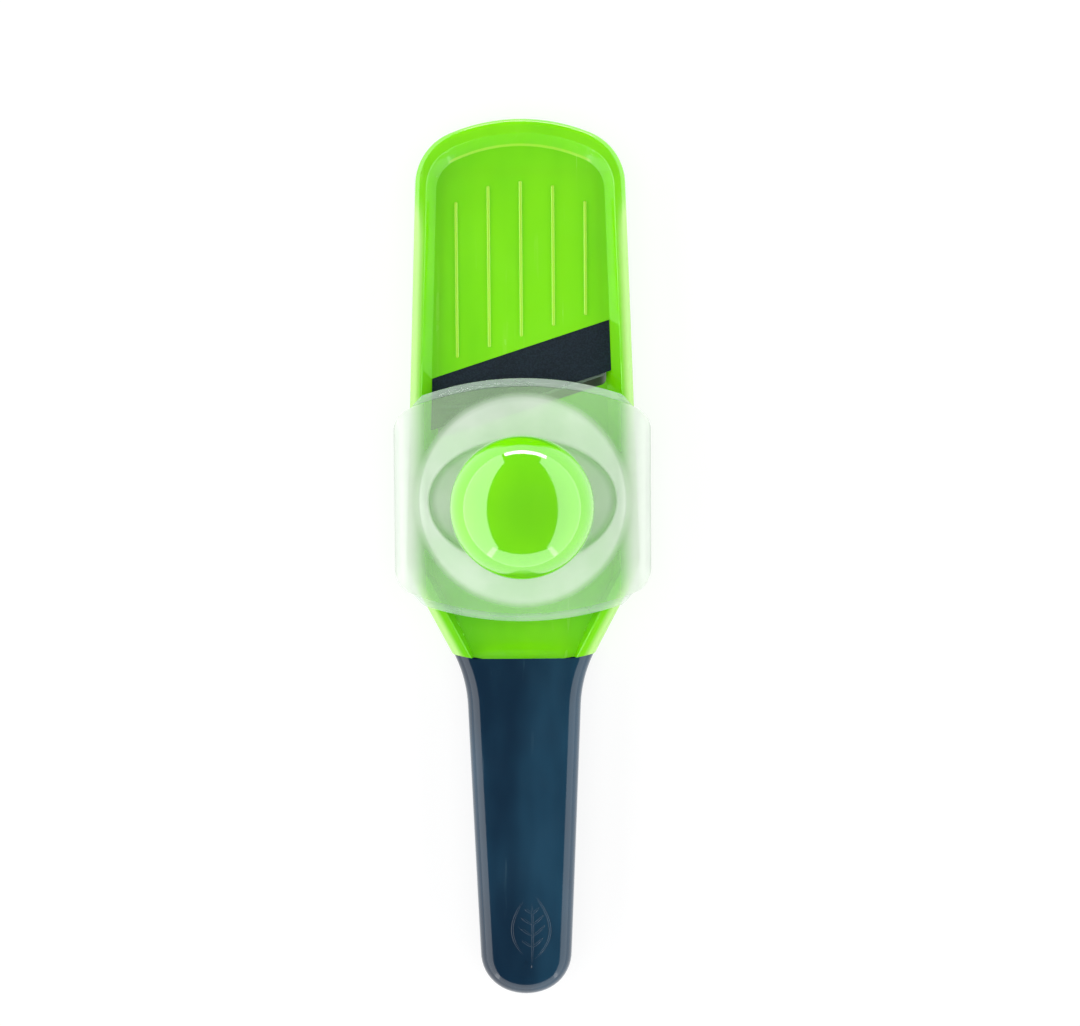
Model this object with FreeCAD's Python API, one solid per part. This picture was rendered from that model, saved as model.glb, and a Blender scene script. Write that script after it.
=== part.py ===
"""Hand-held mandoline slicer with a sliding finger guard.

A moulded tray carries a diagonal steel blade between a low infeed deck, on the handle's side, and a
ribbed outfeed deck, under the arched far end. A frosted guard with a ball knob straddles the two side
rails and slides along them, pushing the food over the blade on a plate of short pins.

Frame: millimetres, +Y from the handle to the arched end, +X to the right, +Z up from the table.
The origin is on the table, in the middle of the length and the width.
"""
import FreeCAD
import Part

import math
import os

from FreeCAD import Vector

# ---------------------------------------------------------------- driving dimensions
LENGTH = 270.0  # arched end to the end of the handle
HALF_LENGTH = LENGTH / 2

# plan outline of the head, neck and handle
ARCH_RADIUS = 55.5  # flat middle of the arch
ARCH_SLOPE = 22.3  # degrees, where the middle arc runs into the corners
ARCH_CORNER_RADIUS = 17.0
WIDEST_HALF = 35.8  # half width of the rails at mid length
RAIL_TAPER = 0.0347  # half width lost per millimetre towards the arch
SHOULDER_RADIUS = 14.0
NECK_POINT = (30.2, -11.9)  # a point on the straight stretch of the neck
NECK_TAPER = 0.527  # half width lost per millimetre along the neck
NECK_BLEND_RADIUS = 40.0
HANDLE_POINT = (16.8, -59.6)  # a point on the handle's side
HANDLE_TAPER = 0.0426
HANDLE_END_RADIUS = 16.0
HANDLE_END_SLOPE = 20.0
HANDLE_CORNER_RADIUS = 13.0

# heights above the table
WALL_BOTTOM = 2.0
RAIL_TOP = 15.0
RAIL_OUTER_FILLET = 2.2
RAIL_INNER_FILLET = 0.7
OUTFEED_Z = 10.5  # ribbed deck, behind the blade
INFEED_Z = 7.8  # lower deck, ahead of the blade
DECK_THICKNESS = 2.0
WALL = 2.2  # outer wall of the tray
CORE_INSET = 4.2  # groove moulded up into the rails
CORE_TOP = 12.5
CORE_START_Y = 4.0

# recess between the rails: insets from the outline at the rail top and at the infeed deck
END_INSETS = (4.3, 10.5)
SIDE_INSETS = (3.5, 8.0)
NECK_INSETS = (4.6, 5.8)
RAMP_START_Y = -13.0  # the infeed deck curves up from here to the handle
RAMP_TOP_Z = 13.6

# joint face between the tray's neck and the handle, an arc in plan
FACE_RADIUS = 86.0
FACE_MIDDLE_Y = -30.4

# blade assembly, in its own axes: across the blade is "u", from the holder's front edge to the arch
BLADE_ANGLE = 18.0
BLADE_Y = 50.0  # the holder's front edge crosses the centre line here
HOLDER_DEPTH = 14.85
HOLDER_TOP = 10.4
HOLDER_LIP = 0.7  # holder's thickness over the blade
BLADE_THICKNESS = 0.5
BLADE_REACH = 0.9  # steel showing in front of the holder
BLADE_BACK = 9.2
BEVEL = 0.7
EDGE_LAND = 0.06  # thickness left at the cutting edge
CLAMP_FRONT = 3.0
CLAMP_THICKNESS = 2.0
SLOT_GAP = 3.4  # open slot from the infeed deck's end to the holder
POCKET_FRONT = 9.8  # the deep part of the holder starts here
SHELF_TOP = 6.9
SHELF_THICKNESS = 2.0
OPENING_HALF = 25.8
PEG_COUNT = 4
PEG_RADIUS = 1.3
PEG_U = 5.6
PEG_SPACING = 13.0
PEG_HEAD_RADIUS = 2.2
PEG_HEAD_HEIGHT = 1.0
PEG_RECESS = 0.3  # pegs start this far under the holder's top
BLADE_SCREW_U = 12.3
BLADE_SCREW_V = (-19.0, 0.0, 19.0)  # places along the blade
BLADE_SCREW = (0.9, 2.0, 1.4)  # shank radius, head radius, head height
BLADE_SCREW_PILOT = 0.95
BLADE_SCREW_HOLE = 1.2
BLADE_END_GAP = 0.3  # from the opening's sides to the steel and the clamp
HOLDER_GAP = 0.12  # round the holder
CLAMP_SLOPE = 1.6  # run of the clamp's sloped front

# deck ribs and side ledges
RIB_COUNT = 5
RIB_PITCH = 9.8
RIB_RADIUS = 0.55
RIB_TOP_Y = 116.0
RIB_TOP_ARC = 34.0
RIB_GAP = 4.2  # from the holder's back edge to the ribs
LEDGE_WIDTH = 1.2
LEDGE_HEIGHT = 0.8
LEDGE_GAP = 5.5
LEDGE_END_Y = 112.0

# one moulding saved as solids that meet face to face, cut at these places
DECK_CUT_INSET = 8.6  # decks inside, rails outside
NECK_CUT_Y = -12.0
CHEEK_CUT_Y = 8.0
ARCH_CUT_Y = 119.0

# moulded frame under the slot, cross ribs and rubber feet
FRAME_WALL = 1.5
FRAME_BOTTOM = 2.6
SHELF_BACK = HOLDER_DEPTH + 2.0
CROSS_RIB = 1.4
OUTFEED_RIB_Y = (94.0, 108.0)
OUTFEED_RIB_BOTTOM = 3.6
HOLLOW_END_Y = -22.0  # the underside's hollows stop here, short of the handle
INFEED_RIB_Y = (-8.0, 10.0, 28.0)
FOOT_X = 17.0
FOOT_Y = 116.0
FOOT_SIZE = (13.0, 5.0)
FOOT_SEAT = 2.0
FOOT_SOCKET_WALL = 1.4

# handle
HANDLE_WALL = 2.6
SEAM_Z = 8.0
HANDLE_TOP = (15.0, 17.4, 16.4)  # at the front, the middle and the end
HANDLE_BOTTOM = (2.0, 0.0, 1.6)
HANDLE_FLAT = (-66.0, -112.0)  # stretch that lies on the table
HANDLE_TOP_FILLET = 6.0
HANDLE_BOTTOM_FILLET = 5.0
TANG_HALF = 8.5
TANG_Z = (5.0, 11.0)
TANG_END_Y = -121.0
TANG_ROOT = 2.0  # how far it runs into the neck
TANG_CORNER = 4.0
HANDLE_SCREW_Y = (-54.0, -110.0)
HANDLE_SCREW = (1.2, 2.6, 1.6)  # shank radius, head radius, head height
HANDLE_SCREW_HOLE = 1.7
HANDLE_SCREW_SEAT = (3.0, 3.0)  # counterbore's radius, and its floor's height above the table
HANDLE_SCREW_REACH = 3.2  # past the tang
HANDLE_BOSS_RADII = (3.2, 4.4)  # under the top, over the bottom
HANDLE_PILOT_RADIUS = 1.25
PRY_SLOT_Y = (-104.0, -98.0)  # small notch in the seam, on the left
PRY_SLOT_HALF_HEIGHT = 0.7
PRY_SLOT_DEPTH = 3.6

# guard
GUARD_Y = 19.7  # its middle, where it is parked
GUARD_HALF_WIDTH = 39.3
GUARD_HALF_LENGTH = 34.7
GUARD_END_RADIUS = 95.0
GUARD_CORNER = 5.2
GUARD_WALL = 1.6
GUARD_SHOULDER = 5.5
GUARD_TOP = 17.0
SKIRT_BOTTOM = 7.0
LIP_REACH = 2.4
LIP_Z = (15.4, 16.2)
END_WALL_HALF = 21.5
END_WALL_BOTTOM = 12.2
END_WALL_THICKNESS = 1.1
DOME_FOOT = 31.4
DOME_SPHERE = 50.0
DOME_WALL = 1.5
DISH_RADII = (28.4, 19.0)
DISH_WALL = 1.5
DISH_FLOOR = (16.6, 18.0)
STEM_RADIUS = 8.6
STEM_TOP = 24.4

# knob and food pins
KNOB_RADIUS = 21.4
KNOB_EQUATOR = 40.0
KNOB_TOP = 56.6
KNOB_WALL = 2.2
KNOB_LOWER_STRETCH = 1.12  # lower half's height against a full ellipsoid's
KNOB_BOSS_RADIUS = 5.4
KNOB_SPIGOT = (2.0, 1.6, 1.4)  # below and above the equator, and its wall
INSERT_RADIUS = 2.9
INSERT_ENDS = (3.0, 4.0)  # above the stem, below the equator
PIN_PLATE_RADII = (26.6, 17.2)
PIN_PLATE_Z = (15.8, 16.6)
PIN_RING_RADII = (21.5, 12.4)
PIN_COUNT = 10
PIN_RADIUS = 0.8
PIN_TIP_Z = 12.2
PIN_POINT = 2.0  # length of a pin's tapered point
SCREW_RADIUS = 1.95
SCREW_CLEARANCE = 0.2
SCREW_HEAD = (3.6, 2.2)  # radius and height
SCREW_TIP_GAP = 6.0  # from the knob's equator down to the screw's tip
WASHER_RADIUS = 4.6
WASHER_THICKNESS = 0.6

FIT = 0.05  # gap round pegs, screws and pins
FAR = 400.0


# ---------------------------------------------------------------- helpers
def rounded_wire(corners, z):
    """Closed wire through (x, y, radius) corners: straight runs joined by tangent arcs."""
    count = len(corners)
    starts, middles, ends = [], [], []
    for i, (x, y, radius) in enumerate(corners):
        here = Vector(x, y, z)
        back = Vector(corners[i - 1][0], corners[i - 1][1], z) - here
        ahead = Vector(corners[(i + 1) % count][0], corners[(i + 1) % count][1], z) - here
        back.normalize()
        ahead.normalize()
        half = back.getAngle(ahead) / 2
        reach = radius / math.tan(half)
        bisector = (back + ahead).normalize()
        centre = here + bisector * (radius / math.sin(half))
        starts.append(here + back * reach)
        ends.append(here + ahead * reach)
        middles.append(centre - bisector * radius)
    edges = []
    for i in range(count):
        if corners[i][2] > 0:
            edges.append(Part.Arc(starts[i], middles[i], ends[i]).toShape())
        following = starts[(i + 1) % count]
        if ends[i].distanceToPoint(following) > 1e-6:
            edges.append(Part.LineSegment(ends[i], following).toShape())
    return Part.Wire(edges)


def prism(wire, top):
    """Solid from a flat wire up to the height top."""
    return Part.Face(wire).extrude(Vector(0, 0, top - wire.BoundBox.ZMin))


def block(x, y, z):
    """Box from three (low, high) pairs."""
    return Part.makeBox(x[1] - x[0], y[1] - y[0], z[1] - z[0], Vector(x[0], y[0], z[0]))


def upright(radius, x, y, z):
    """Vertical cylinder between two heights."""
    return Part.makeCylinder(radius, z[1] - z[0], Vector(x, y, z[0]))


def ellipse_prism(radii, y, z):
    """Vertical elliptical cylinder, wide along X, centred on (0, y)."""
    edge = Part.Ellipse(Vector(0, y, z[0]), radii[0], radii[1]).toShape()
    return prism(Part.Wire([edge]), z[1])


def revolve(points, y):
    """Solid of revolution about the vertical axis at (0, y) from a closed (radius, z) outline."""
    corners = [Vector(r, 0, z) for r, z in points]
    face = Part.Face(Part.makePolygon(corners + corners[:1]))
    solid = face.revolve(Vector(0, 0, 0), Vector(0, 0, 1), 360)
    solid.translate(Vector(0, y, 0))
    return solid


def across_blade(shape):
    """Moves a shape from the blade's own axes, v along X and u along Y, into place."""
    placed = shape.copy()
    placed.rotate(Vector(0, 0, 0), Vector(0, 0, 1), BLADE_ANGLE)
    placed.translate(Vector(0, BLADE_Y, 0))
    return placed


def blade_band(u, z):
    """Block right across the tray between two distances from the holder's front edge."""
    return across_blade(block((-FAR, FAR), u, z))


def fuse_all(shapes):
    """One solid from several that touch or overlap, with its seams cleaned."""
    return shapes[0].multiFuse(list(shapes[1:])).removeSplitter()


def fillet(shape, radius, wanted):
    """Rounds the edges for which wanted(edge) holds."""
    return shape.makeFillet(radius, [e for e in shape.Edges if wanted(e)])


def export(name, shape):
    """Writes one node, after checking that its solids are sound."""
    solids = shape.Solids
    if not solids or not all(s.isValid() and s.Volume > 0 for s in solids):
        raise ValueError(name + " has no sound solid")
    kept = solids[0] if len(solids) == 1 else Part.makeCompound(solids)
    kept.exportStep("parts/" + name + ".step")
    box = kept.BoundBox
    print(f"{name}: {len(solids)} solid(s), {kept.Volume / 1000:.2f} cm3, "
          f"{box.XLength:.1f} x {box.YLength:.1f} x {box.ZLength:.1f}")


# ---------------------------------------------------------------- plan outline
def half_width(y):
    """Half width of the head at a place along its straight rails."""
    return WIDEST_HALF - RAIL_TAPER * y


def crossing(first, second):
    """Where two lines cross, each given as a point and a direction."""
    (x1, y1), (a1, b1) = first
    (x2, y2), (a2, b2) = second
    t = ((x2 - x1) * b2 - (y2 - y1) * a2) / (a1 * b2 - b1 * a2)
    return x1 + t * a1, y1 + t * b1


def inset_line(point, direction, inset):
    """A line moved towards the centre plane, whose side is on the left of its direction."""
    size = math.hypot(*direction)
    normal = (direction[1] / size, -direction[0] / size)
    if normal[0] > 0:
        normal = (-normal[0], -normal[1])
    return (point[0] + normal[0] * inset, point[1] + normal[1] * inset), direction


def head_lines(end_inset, side_inset, neck_inset):
    """The arch's slope, the rail and the neck on the right, moved in by their insets."""
    slope = math.tan(math.radians(ARCH_SLOPE))
    peak = HALF_LENGTH + ARCH_RADIUS * (1 / math.cos(math.radians(ARCH_SLOPE)) - 1)
    arch = ((0, peak - end_inset / math.cos(math.radians(ARCH_SLOPE))), (1, -slope))
    rail = inset_line((WIDEST_HALF, 0), (RAIL_TAPER, -1), side_inset)
    neck = inset_line(NECK_POINT, (NECK_TAPER, 1), neck_inset)
    return arch, rail, neck


def head_wire(z, end_inset, side_inset, neck_inset, bottom_y):
    """Outline of the head down to bottom_y, with each stretch moved in by its own inset."""
    arch, rail, neck = head_lines(end_inset, side_inset, neck_inset)
    corner = crossing(arch, rail)
    shoulder = crossing(rail, neck)
    foot = crossing(neck, ((0, bottom_y), (1, 0)))
    right = [
        (*corner, ARCH_CORNER_RADIUS - (end_inset + side_inset) / 2),
        (*shoulder, SHOULDER_RADIUS - (side_inset + neck_inset) / 2),
        (*foot, 0),
    ]
    left = [(-x, y, r) for x, y, r in reversed(right)]
    return rounded_wire([(0, arch[0][1], ARCH_RADIUS - end_inset)] + right + left, z)


def full_wire(z, inset=0.0):
    """Outline of the head, neck and handle together."""
    arch, rail, neck = head_lines(inset, inset, inset)
    side = inset_line(HANDLE_POINT, (HANDLE_TAPER, 1), inset)
    end_cos = math.cos(math.radians(HANDLE_END_SLOPE))
    tip = -HALF_LENGTH - HANDLE_END_RADIUS * (1 / end_cos - 1) + inset / end_cos
    end = ((0, tip), (1, math.tan(math.radians(HANDLE_END_SLOPE))))
    right = [
        (*crossing(arch, rail), ARCH_CORNER_RADIUS - inset),
        (*crossing(rail, neck), SHOULDER_RADIUS - inset),
        (*crossing(neck, side), NECK_BLEND_RADIUS + inset),
        (*crossing(side, end), HANDLE_CORNER_RADIUS - inset),
    ]
    left = [(-x, y, r) for x, y, r in reversed(right)]
    tail = [(0, tip, HANDLE_END_RADIUS - inset)]
    return rounded_wire([(0, arch[0][1], ARCH_RADIUS - inset)] + right + tail + left, z)


def face_cylinder(shift=0.0):
    """Upright cylinder whose surface is the joint face between neck and handle."""
    centre_y = FACE_MIDDLE_Y + FACE_RADIUS + shift
    return Part.makeCylinder(FACE_RADIUS, FAR, Vector(0, centre_y, -FAR / 2))


# ---------------------------------------------------------------- tray
def recess(gap=0.0):
    """The space between the rails, narrowing downwards, moved in by a gap."""
    top = head_wire(RAIL_TOP, END_INSETS[0] + gap, SIDE_INSETS[0] + gap, NECK_INSETS[0] + gap, -40)
    floor = head_wire(INFEED_Z, END_INSETS[1] + gap, SIDE_INSETS[1] + gap, NECK_INSETS[1] + gap, -40)
    return Part.makeLoft([floor, top], True, True)


def infeed_profile():
    """Space above the infeed deck, which curves up to the handle."""
    low = Vector(0, RAMP_START_Y, INFEED_Z)
    rise = RAMP_TOP_Z - INFEED_Z
    run = RAMP_START_Y - FACE_MIDDLE_Y
    bend = Vector(0, RAMP_START_Y - run * 0.55, INFEED_Z + rise * 0.22)
    high = Vector(0, FACE_MIDDLE_Y - 1.0, RAMP_TOP_Z)
    edges = [
        Part.Arc(low, bend, high).toShape(),
        Part.LineSegment(high, Vector(0, high.y, FAR)).toShape(),
        Part.LineSegment(Vector(0, high.y, FAR), Vector(0, FAR, FAR)).toShape(),
        Part.LineSegment(Vector(0, FAR, FAR), Vector(0, FAR, INFEED_Z)).toShape(),
        Part.LineSegment(Vector(0, FAR, INFEED_Z), low).toShape(),
    ]
    face = Part.Face(Part.Wire(edges))
    solid = face.extrude(Vector(2 * WIDEST_HALF, 0, 0))
    solid.translate(Vector(-WIDEST_HALF, 0, 0))
    return solid


def tray_cavities():
    """Everything cut out of the tray from above."""
    space = recess()
    infeed = space.common(infeed_profile()).cut(blade_band((0, FAR), (0, FAR)))
    seat = space.common(blade_band((-0.001, HOLDER_DEPTH), (HOLDER_TOP - HOLDER_LIP, FAR)))
    outfeed = space.common(blade_band((HOLDER_DEPTH - 0.001, FAR), (OUTFEED_Z, FAR)))
    slab = block((-OPENING_HALF, OPENING_HALF), (-FAR, FAR), (-FAR, FAR))
    opening = slab.common(blade_band((-SLOT_GAP, POCKET_FRONT), (-1, RAIL_TOP)))
    opening = fillet(opening, 2.0, lambda e: is_upright(e) and e.BoundBox.XMax > 0 and near_u(e, -SLOT_GAP))
    pocket = slab.common(blade_band((POCKET_FRONT - 0.001, HOLDER_DEPTH), (SHELF_TOP, RAIL_TOP)))
    return [infeed, seat, outfeed, opening, pocket]


def is_upright(edge):
    """True for a straight vertical edge."""
    box = edge.BoundBox
    return box.ZLength > 1 and box.XLength < 1e-3 and box.YLength < 1e-3


def near_u(edge, u):
    """True where an edge's middle lies at a distance u across the blade."""
    point = edge.CenterOfMass
    angle = math.radians(BLADE_ANGLE)
    return abs((point.y - BLADE_Y) * math.cos(angle) - point.x * math.sin(angle) - u) < 0.05


def tray_underside():
    """Hollows under the decks and inside the rails."""
    top = OUTFEED_Z - DECK_THICKNESS
    inner = prism(head_wire(WALL_BOTTOM - 1, WALL, WALL, WALL, HOLLOW_END_Y), RAIL_TOP)
    outfeed = inner.common(blade_band((SHELF_BACK, FAR), (WALL_BOTTOM - 1, top)))
    low = inner.common(block((-FAR, FAR), (-FAR, FAR), (WALL_BOTTOM - 1, SHELF_TOP - SHELF_THICKNESS)))
    low = low.cut(slot_frame())
    infeed_top = INFEED_Z - DECK_THICKNESS
    infeed = inner.common(blade_band((-FAR, -SLOT_GAP - FRAME_WALL), (WALL_BOTTOM - 1, infeed_top)))
    core = prism(head_wire(WALL_BOTTOM - 1, WALL, WALL, WALL, HOLLOW_END_Y), CORE_TOP)
    core = core.cut(prism(head_wire(0, CORE_INSET, CORE_INSET, CORE_INSET, HOLLOW_END_Y), RAIL_TOP))
    core = core.common(block((-FAR, FAR), (CORE_START_Y, FAR), (0, FAR)))
    return [outfeed, low, infeed, core]


def slot_frame():
    """Wall round the slot's space under the decks."""
    outer, inner = [
        block((-OPENING_HALF - grow, OPENING_HALF + grow), (-FAR, FAR), (FRAME_BOTTOM, RAIL_TOP)).common(
            blade_band((-SLOT_GAP - grow, SHELF_BACK - FRAME_WALL + grow), (0, RAIL_TOP)))
        for grow in (FRAME_WALL, 0)]
    return outer.cut(inner)


def deck_ribs():
    """Raised round-backed ribs, cut off parallel to the blade."""
    ribs = []
    slope = math.tan(math.radians(BLADE_ANGLE))
    start = BLADE_Y + HOLDER_DEPTH / math.cos(math.radians(BLADE_ANGLE)) + RIB_GAP
    for i in range(RIB_COUNT):
        x = (i - (RIB_COUNT - 1) / 2) * RIB_PITCH
        low = start + slope * x
        high = RIB_TOP_Y - RIB_TOP_ARC + math.sqrt(RIB_TOP_ARC ** 2 - x ** 2)
        rod = Part.makeCylinder(RIB_RADIUS, high - low, Vector(x, low, OUTFEED_Z), Vector(0, 1, 0))
        ribs += [rod] + [Part.makeSphere(RIB_RADIUS, Vector(x, y, OUTFEED_Z)) for y in (low, high)]
    return ribs


def side_ledges():
    """Low steps along the foot of the rails, ending short of the blade."""
    foot = SIDE_INSETS[0] + (SIDE_INSETS[1] - SIDE_INSETS[0]) * (RAIL_TOP - OUTFEED_Z) / (RAIL_TOP - INFEED_Z)
    outer = foot - 1.0
    inner = foot + LEDGE_WIDTH
    band = prism(head_wire(OUTFEED_Z - 0.5, outer, outer, outer, 0), OUTFEED_Z + LEDGE_HEIGHT)
    band = band.cut(prism(head_wire(OUTFEED_Z - 1, inner, inner, inner, 0), OUTFEED_Z + 2))
    band = band.common(block((-FAR, FAR), (0, LEDGE_END_Y), (0, FAR)))
    return band.common(blade_band((HOLDER_DEPTH + LEDGE_GAP, FAR), (0, FAR))).Solids


def underside_ribs():
    """Cross ribs under the decks."""
    inside = prism(head_wire(0, 1.0, 1.0, 1.0, HOLLOW_END_Y), RAIL_TOP)
    half = CROSS_RIB / 2
    plates = [block((-FAR, FAR), (y - half, y + half), (OUTFEED_RIB_BOTTOM, OUTFEED_Z - 1))
              for y in OUTFEED_RIB_Y]
    plates += [block((-FAR, FAR), (y - half, y + half), (FRAME_BOTTOM, INFEED_Z - 1)) for y in INFEED_RIB_Y]
    return [inside.common(plate) for plate in plates]


def foot_block(x, grow, z):
    """Block of a foot's size, grown all round."""
    half_x, half_y = FOOT_SIZE[0] / 2 + grow, FOOT_SIZE[1] / 2 + grow
    return block((x - half_x, x + half_x), (FOOT_Y - half_y, FOOT_Y + half_y), z)


def foot_sockets():
    """Blocks that the rubber feet are pressed into, and the pockets in them."""
    blocks, pockets = [], []
    for x in (-FOOT_X, FOOT_X):
        blocks.append(foot_block(x, FOOT_SOCKET_WALL, (WALL_BOTTOM, OUTFEED_Z - 1)))
        pockets.append(foot_block(x, 0, (0, WALL_BOTTOM + FOOT_SEAT)))
    return blocks, pockets


def tray_solids(body):
    """The moulding as straight-sided solids that meet face to face: neck, cheeks, rails, arch and decks.

    Convex collision shapes made from each one leave the channel between the rails open.
    """
    def stretch(low, high):
        return block((-FAR, FAR), (low, high), (-FAR, FAR))

    inside = prism(head_wire(-1, END_INSETS[1], DECK_CUT_INSET, NECK_INSETS[1], HOLLOW_END_Y), FAR)
    middle = body.common(stretch(NECK_CUT_Y, ARCH_CUT_Y))
    decks = middle.common(inside)
    sides = middle.cut(inside)
    pieces = [
        body.common(stretch(-FAR, NECK_CUT_Y)),
        sides.common(stretch(NECK_CUT_Y, CHEEK_CUT_Y)),
        sides.common(stretch(CHEEK_CUT_Y, ARCH_CUT_Y)),
        decks.common(blade_band((-FAR, 0), (-FAR, FAR))),
        decks.common(blade_band((0, FAR), (-FAR, FAR))),
        body.common(stretch(ARCH_CUT_Y, FAR)),
    ]
    return Part.makeCompound([solid for piece in pieces for solid in piece.Solids])


def rail_edge(edge):
    """True for an edge that runs along the rail tops, clear of the handle's end."""
    box = edge.BoundBox
    on_top = box.ZMin > RAIL_TOP - 1e-3 and box.ZMax < RAIL_TOP + 1e-3
    centre = edge.CenterOfMass
    at_face = abs(math.hypot(centre.x, centre.y - FACE_MIDDLE_Y - FACE_RADIUS) - FACE_RADIUS) < 1.0
    return on_top and not at_face


def make_tray():
    """The head: rails, arch, decks, neck and the tang that goes into the handle."""
    body = prism(full_wire(WALL_BOTTOM), RAIL_TOP).common(face_cylinder())
    body = fillet(body, RAIL_OUTER_FILLET, rail_edge)
    infeed, seat, outfeed, opening, pocket = tray_cavities()
    body = body.cut(infeed.fuse([seat, outfeed]).removeSplitter())
    body = fillet(body, RAIL_INNER_FILLET, rail_edge)
    body = body.cut(Part.makeCompound([opening, pocket]))
    body = body.cut(Part.makeCompound(tray_underside()))
    tang = block((-TANG_HALF, TANG_HALF), (TANG_END_Y, FACE_MIDDLE_Y + TANG_ROOT), TANG_Z)
    tang = fillet(tang, TANG_CORNER, lambda e: is_upright(e) and e.BoundBox.YMax < TANG_END_Y + 1)
    blocks, pockets = foot_sockets()
    body = fuse_all([body, tang] + deck_ribs() + side_ledges() + underside_ribs() + blocks)
    holes = [upright(HANDLE_SCREW_HOLE, 0, y, (0, RAIL_TOP)) for y in HANDLE_SCREW_Y]
    for v in BLADE_SCREW_V:
        holes.append(across_blade(upright(BLADE_SCREW_HOLE, v, BLADE_SCREW_U, (0, SHELF_TOP + 0.1))))
    return tray_solids(body.cut(Part.makeCompound(holes + pockets)))


# ---------------------------------------------------------------- blade assembly
def make_holder():
    """Dark bar over the blade: a thin lip in front, a deep back, and staked pegs."""
    space = recess(HOLDER_GAP)
    top = blade_band((0, HOLDER_DEPTH - 0.1), (HOLDER_TOP - HOLDER_LIP, HOLDER_TOP)).common(space)
    slab = block((-OPENING_HALF + 0.1, OPENING_HALF - 0.1), (-FAR, FAR), (-FAR, FAR))
    deep = slab.common(blade_band((POCKET_FRONT, HOLDER_DEPTH - 0.1), (SHELF_TOP, HOLDER_TOP - 0.2)))
    clamp_bottom = HOLDER_TOP - HOLDER_LIP - BLADE_THICKNESS - CLAMP_THICKNESS
    pegs = []
    for v in peg_places():
        peg = upright(PEG_RADIUS, v, PEG_U, (clamp_bottom - PEG_HEAD_HEIGHT / 2, HOLDER_TOP - PEG_RECESS))
        head = Part.makeSphere(PEG_HEAD_RADIUS, Vector(v, PEG_U, clamp_bottom))
        head = head.common(upright(PEG_HEAD_RADIUS, v, PEG_U, (clamp_bottom - PEG_HEAD_HEIGHT, clamp_bottom)))
        pegs += [across_blade(peg), across_blade(head)]
    holder = fuse_all([top, deep] + pegs)
    pilots = [across_blade(upright(BLADE_SCREW_PILOT, v, BLADE_SCREW_U, (SHELF_TOP, HOLDER_TOP - 0.7)))
              for v in BLADE_SCREW_V]
    return holder.cut(Part.makeCompound(pilots))


def peg_places():
    """Places of the pegs along the blade."""
    return [(i - (PEG_COUNT - 1) / 2) * PEG_SPACING for i in range(PEG_COUNT)]


def blade_bar(outline):
    """Bar with a (u, z) section right across the opening, with a hole for each peg."""
    corners = [Vector(0, u, z) for u, z in outline]
    bar = Part.Face(Part.makePolygon(corners + corners[:1])).extrude(Vector(2 * FAR, 0, 0))
    bar.translate(Vector(-FAR, 0, 0))
    ends = (-OPENING_HALF + BLADE_END_GAP, OPENING_HALF - BLADE_END_GAP)
    bar = across_blade(bar).common(block(ends, (-FAR, FAR), (0, FAR)))
    holes = [across_blade(upright(PEG_RADIUS + FIT, v, PEG_U, (0, FAR))) for v in peg_places()]
    return bar.cut(Part.makeCompound(holes))


def make_blade():
    """Steel strip with a ground bevel along its front edge and four holes for the pegs."""
    top = HOLDER_TOP - HOLDER_LIP
    bottom = top - BLADE_THICKNESS
    return blade_bar([
        (-BLADE_REACH, bottom), (-BLADE_REACH, bottom + EDGE_LAND), (-BLADE_REACH + BEVEL, top),
        (BLADE_BACK, top), (BLADE_BACK, bottom),
    ])


def make_clamp():
    """Bar under the blade, sloped in front so that slices pass below it."""
    top = HOLDER_TOP - HOLDER_LIP - BLADE_THICKNESS
    bottom = top - CLAMP_THICKNESS
    return blade_bar([
        (CLAMP_FRONT - CLAMP_SLOPE, top), (CLAMP_FRONT, bottom), (BLADE_BACK, bottom), (BLADE_BACK, top),
    ])


def cross_recess(x, y, z, radius, depth):
    """Cross-shaped driver recess opening downwards at height z."""
    arm = radius * 0.9
    return fuse_all([
        block((x - arm, x + arm), (y - 0.35, y + 0.35), (z - 0.1, z + depth)),
        block((x - 0.35, x + 0.35), (y - arm, y + arm), (z - 0.1, z + depth)),
    ])


def pan_screw(x, y, seat_z, tip_z, shank_radius, head_radius, head_height):
    """Screw driven upwards: a rounded head below seat_z and a shank up to tip_z."""
    crown = head_height + head_radius ** 2 / (2 * head_height)
    ball = Part.makeSphere(crown, Vector(x, y, seat_z - head_height + crown))
    head = ball.common(upright(head_radius, x, y, (seat_z - head_height, seat_z)))
    shank = upright(shank_radius, x, y, (seat_z - 0.2, tip_z))
    screw = fuse_all([head, shank])
    return screw.cut(cross_recess(x, y, seat_z - head_height, head_radius * 0.65, head_height * 0.55))


def make_blade_screws():
    """Three small screws up through the tray's shelf into the holder."""
    seat = SHELF_TOP - SHELF_THICKNESS
    return Part.makeCompound([
        across_blade(pan_screw(v, BLADE_SCREW_U, seat, HOLDER_TOP - 1.0, *BLADE_SCREW)) for v in BLADE_SCREW_V])


def make_feet():
    """Two rubber pads pressed into the sockets under the arch."""
    pads = []
    for x in (-FOOT_X, FOOT_X):
        pad = foot_block(x, -FIT, (0, WALL_BOTTOM + FOOT_SEAT))
        pad = fillet(pad, 0.8, lambda e: e.BoundBox.ZMax < 1e-3)
        pads.append(pad)
    return Part.makeCompound(pads)


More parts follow.
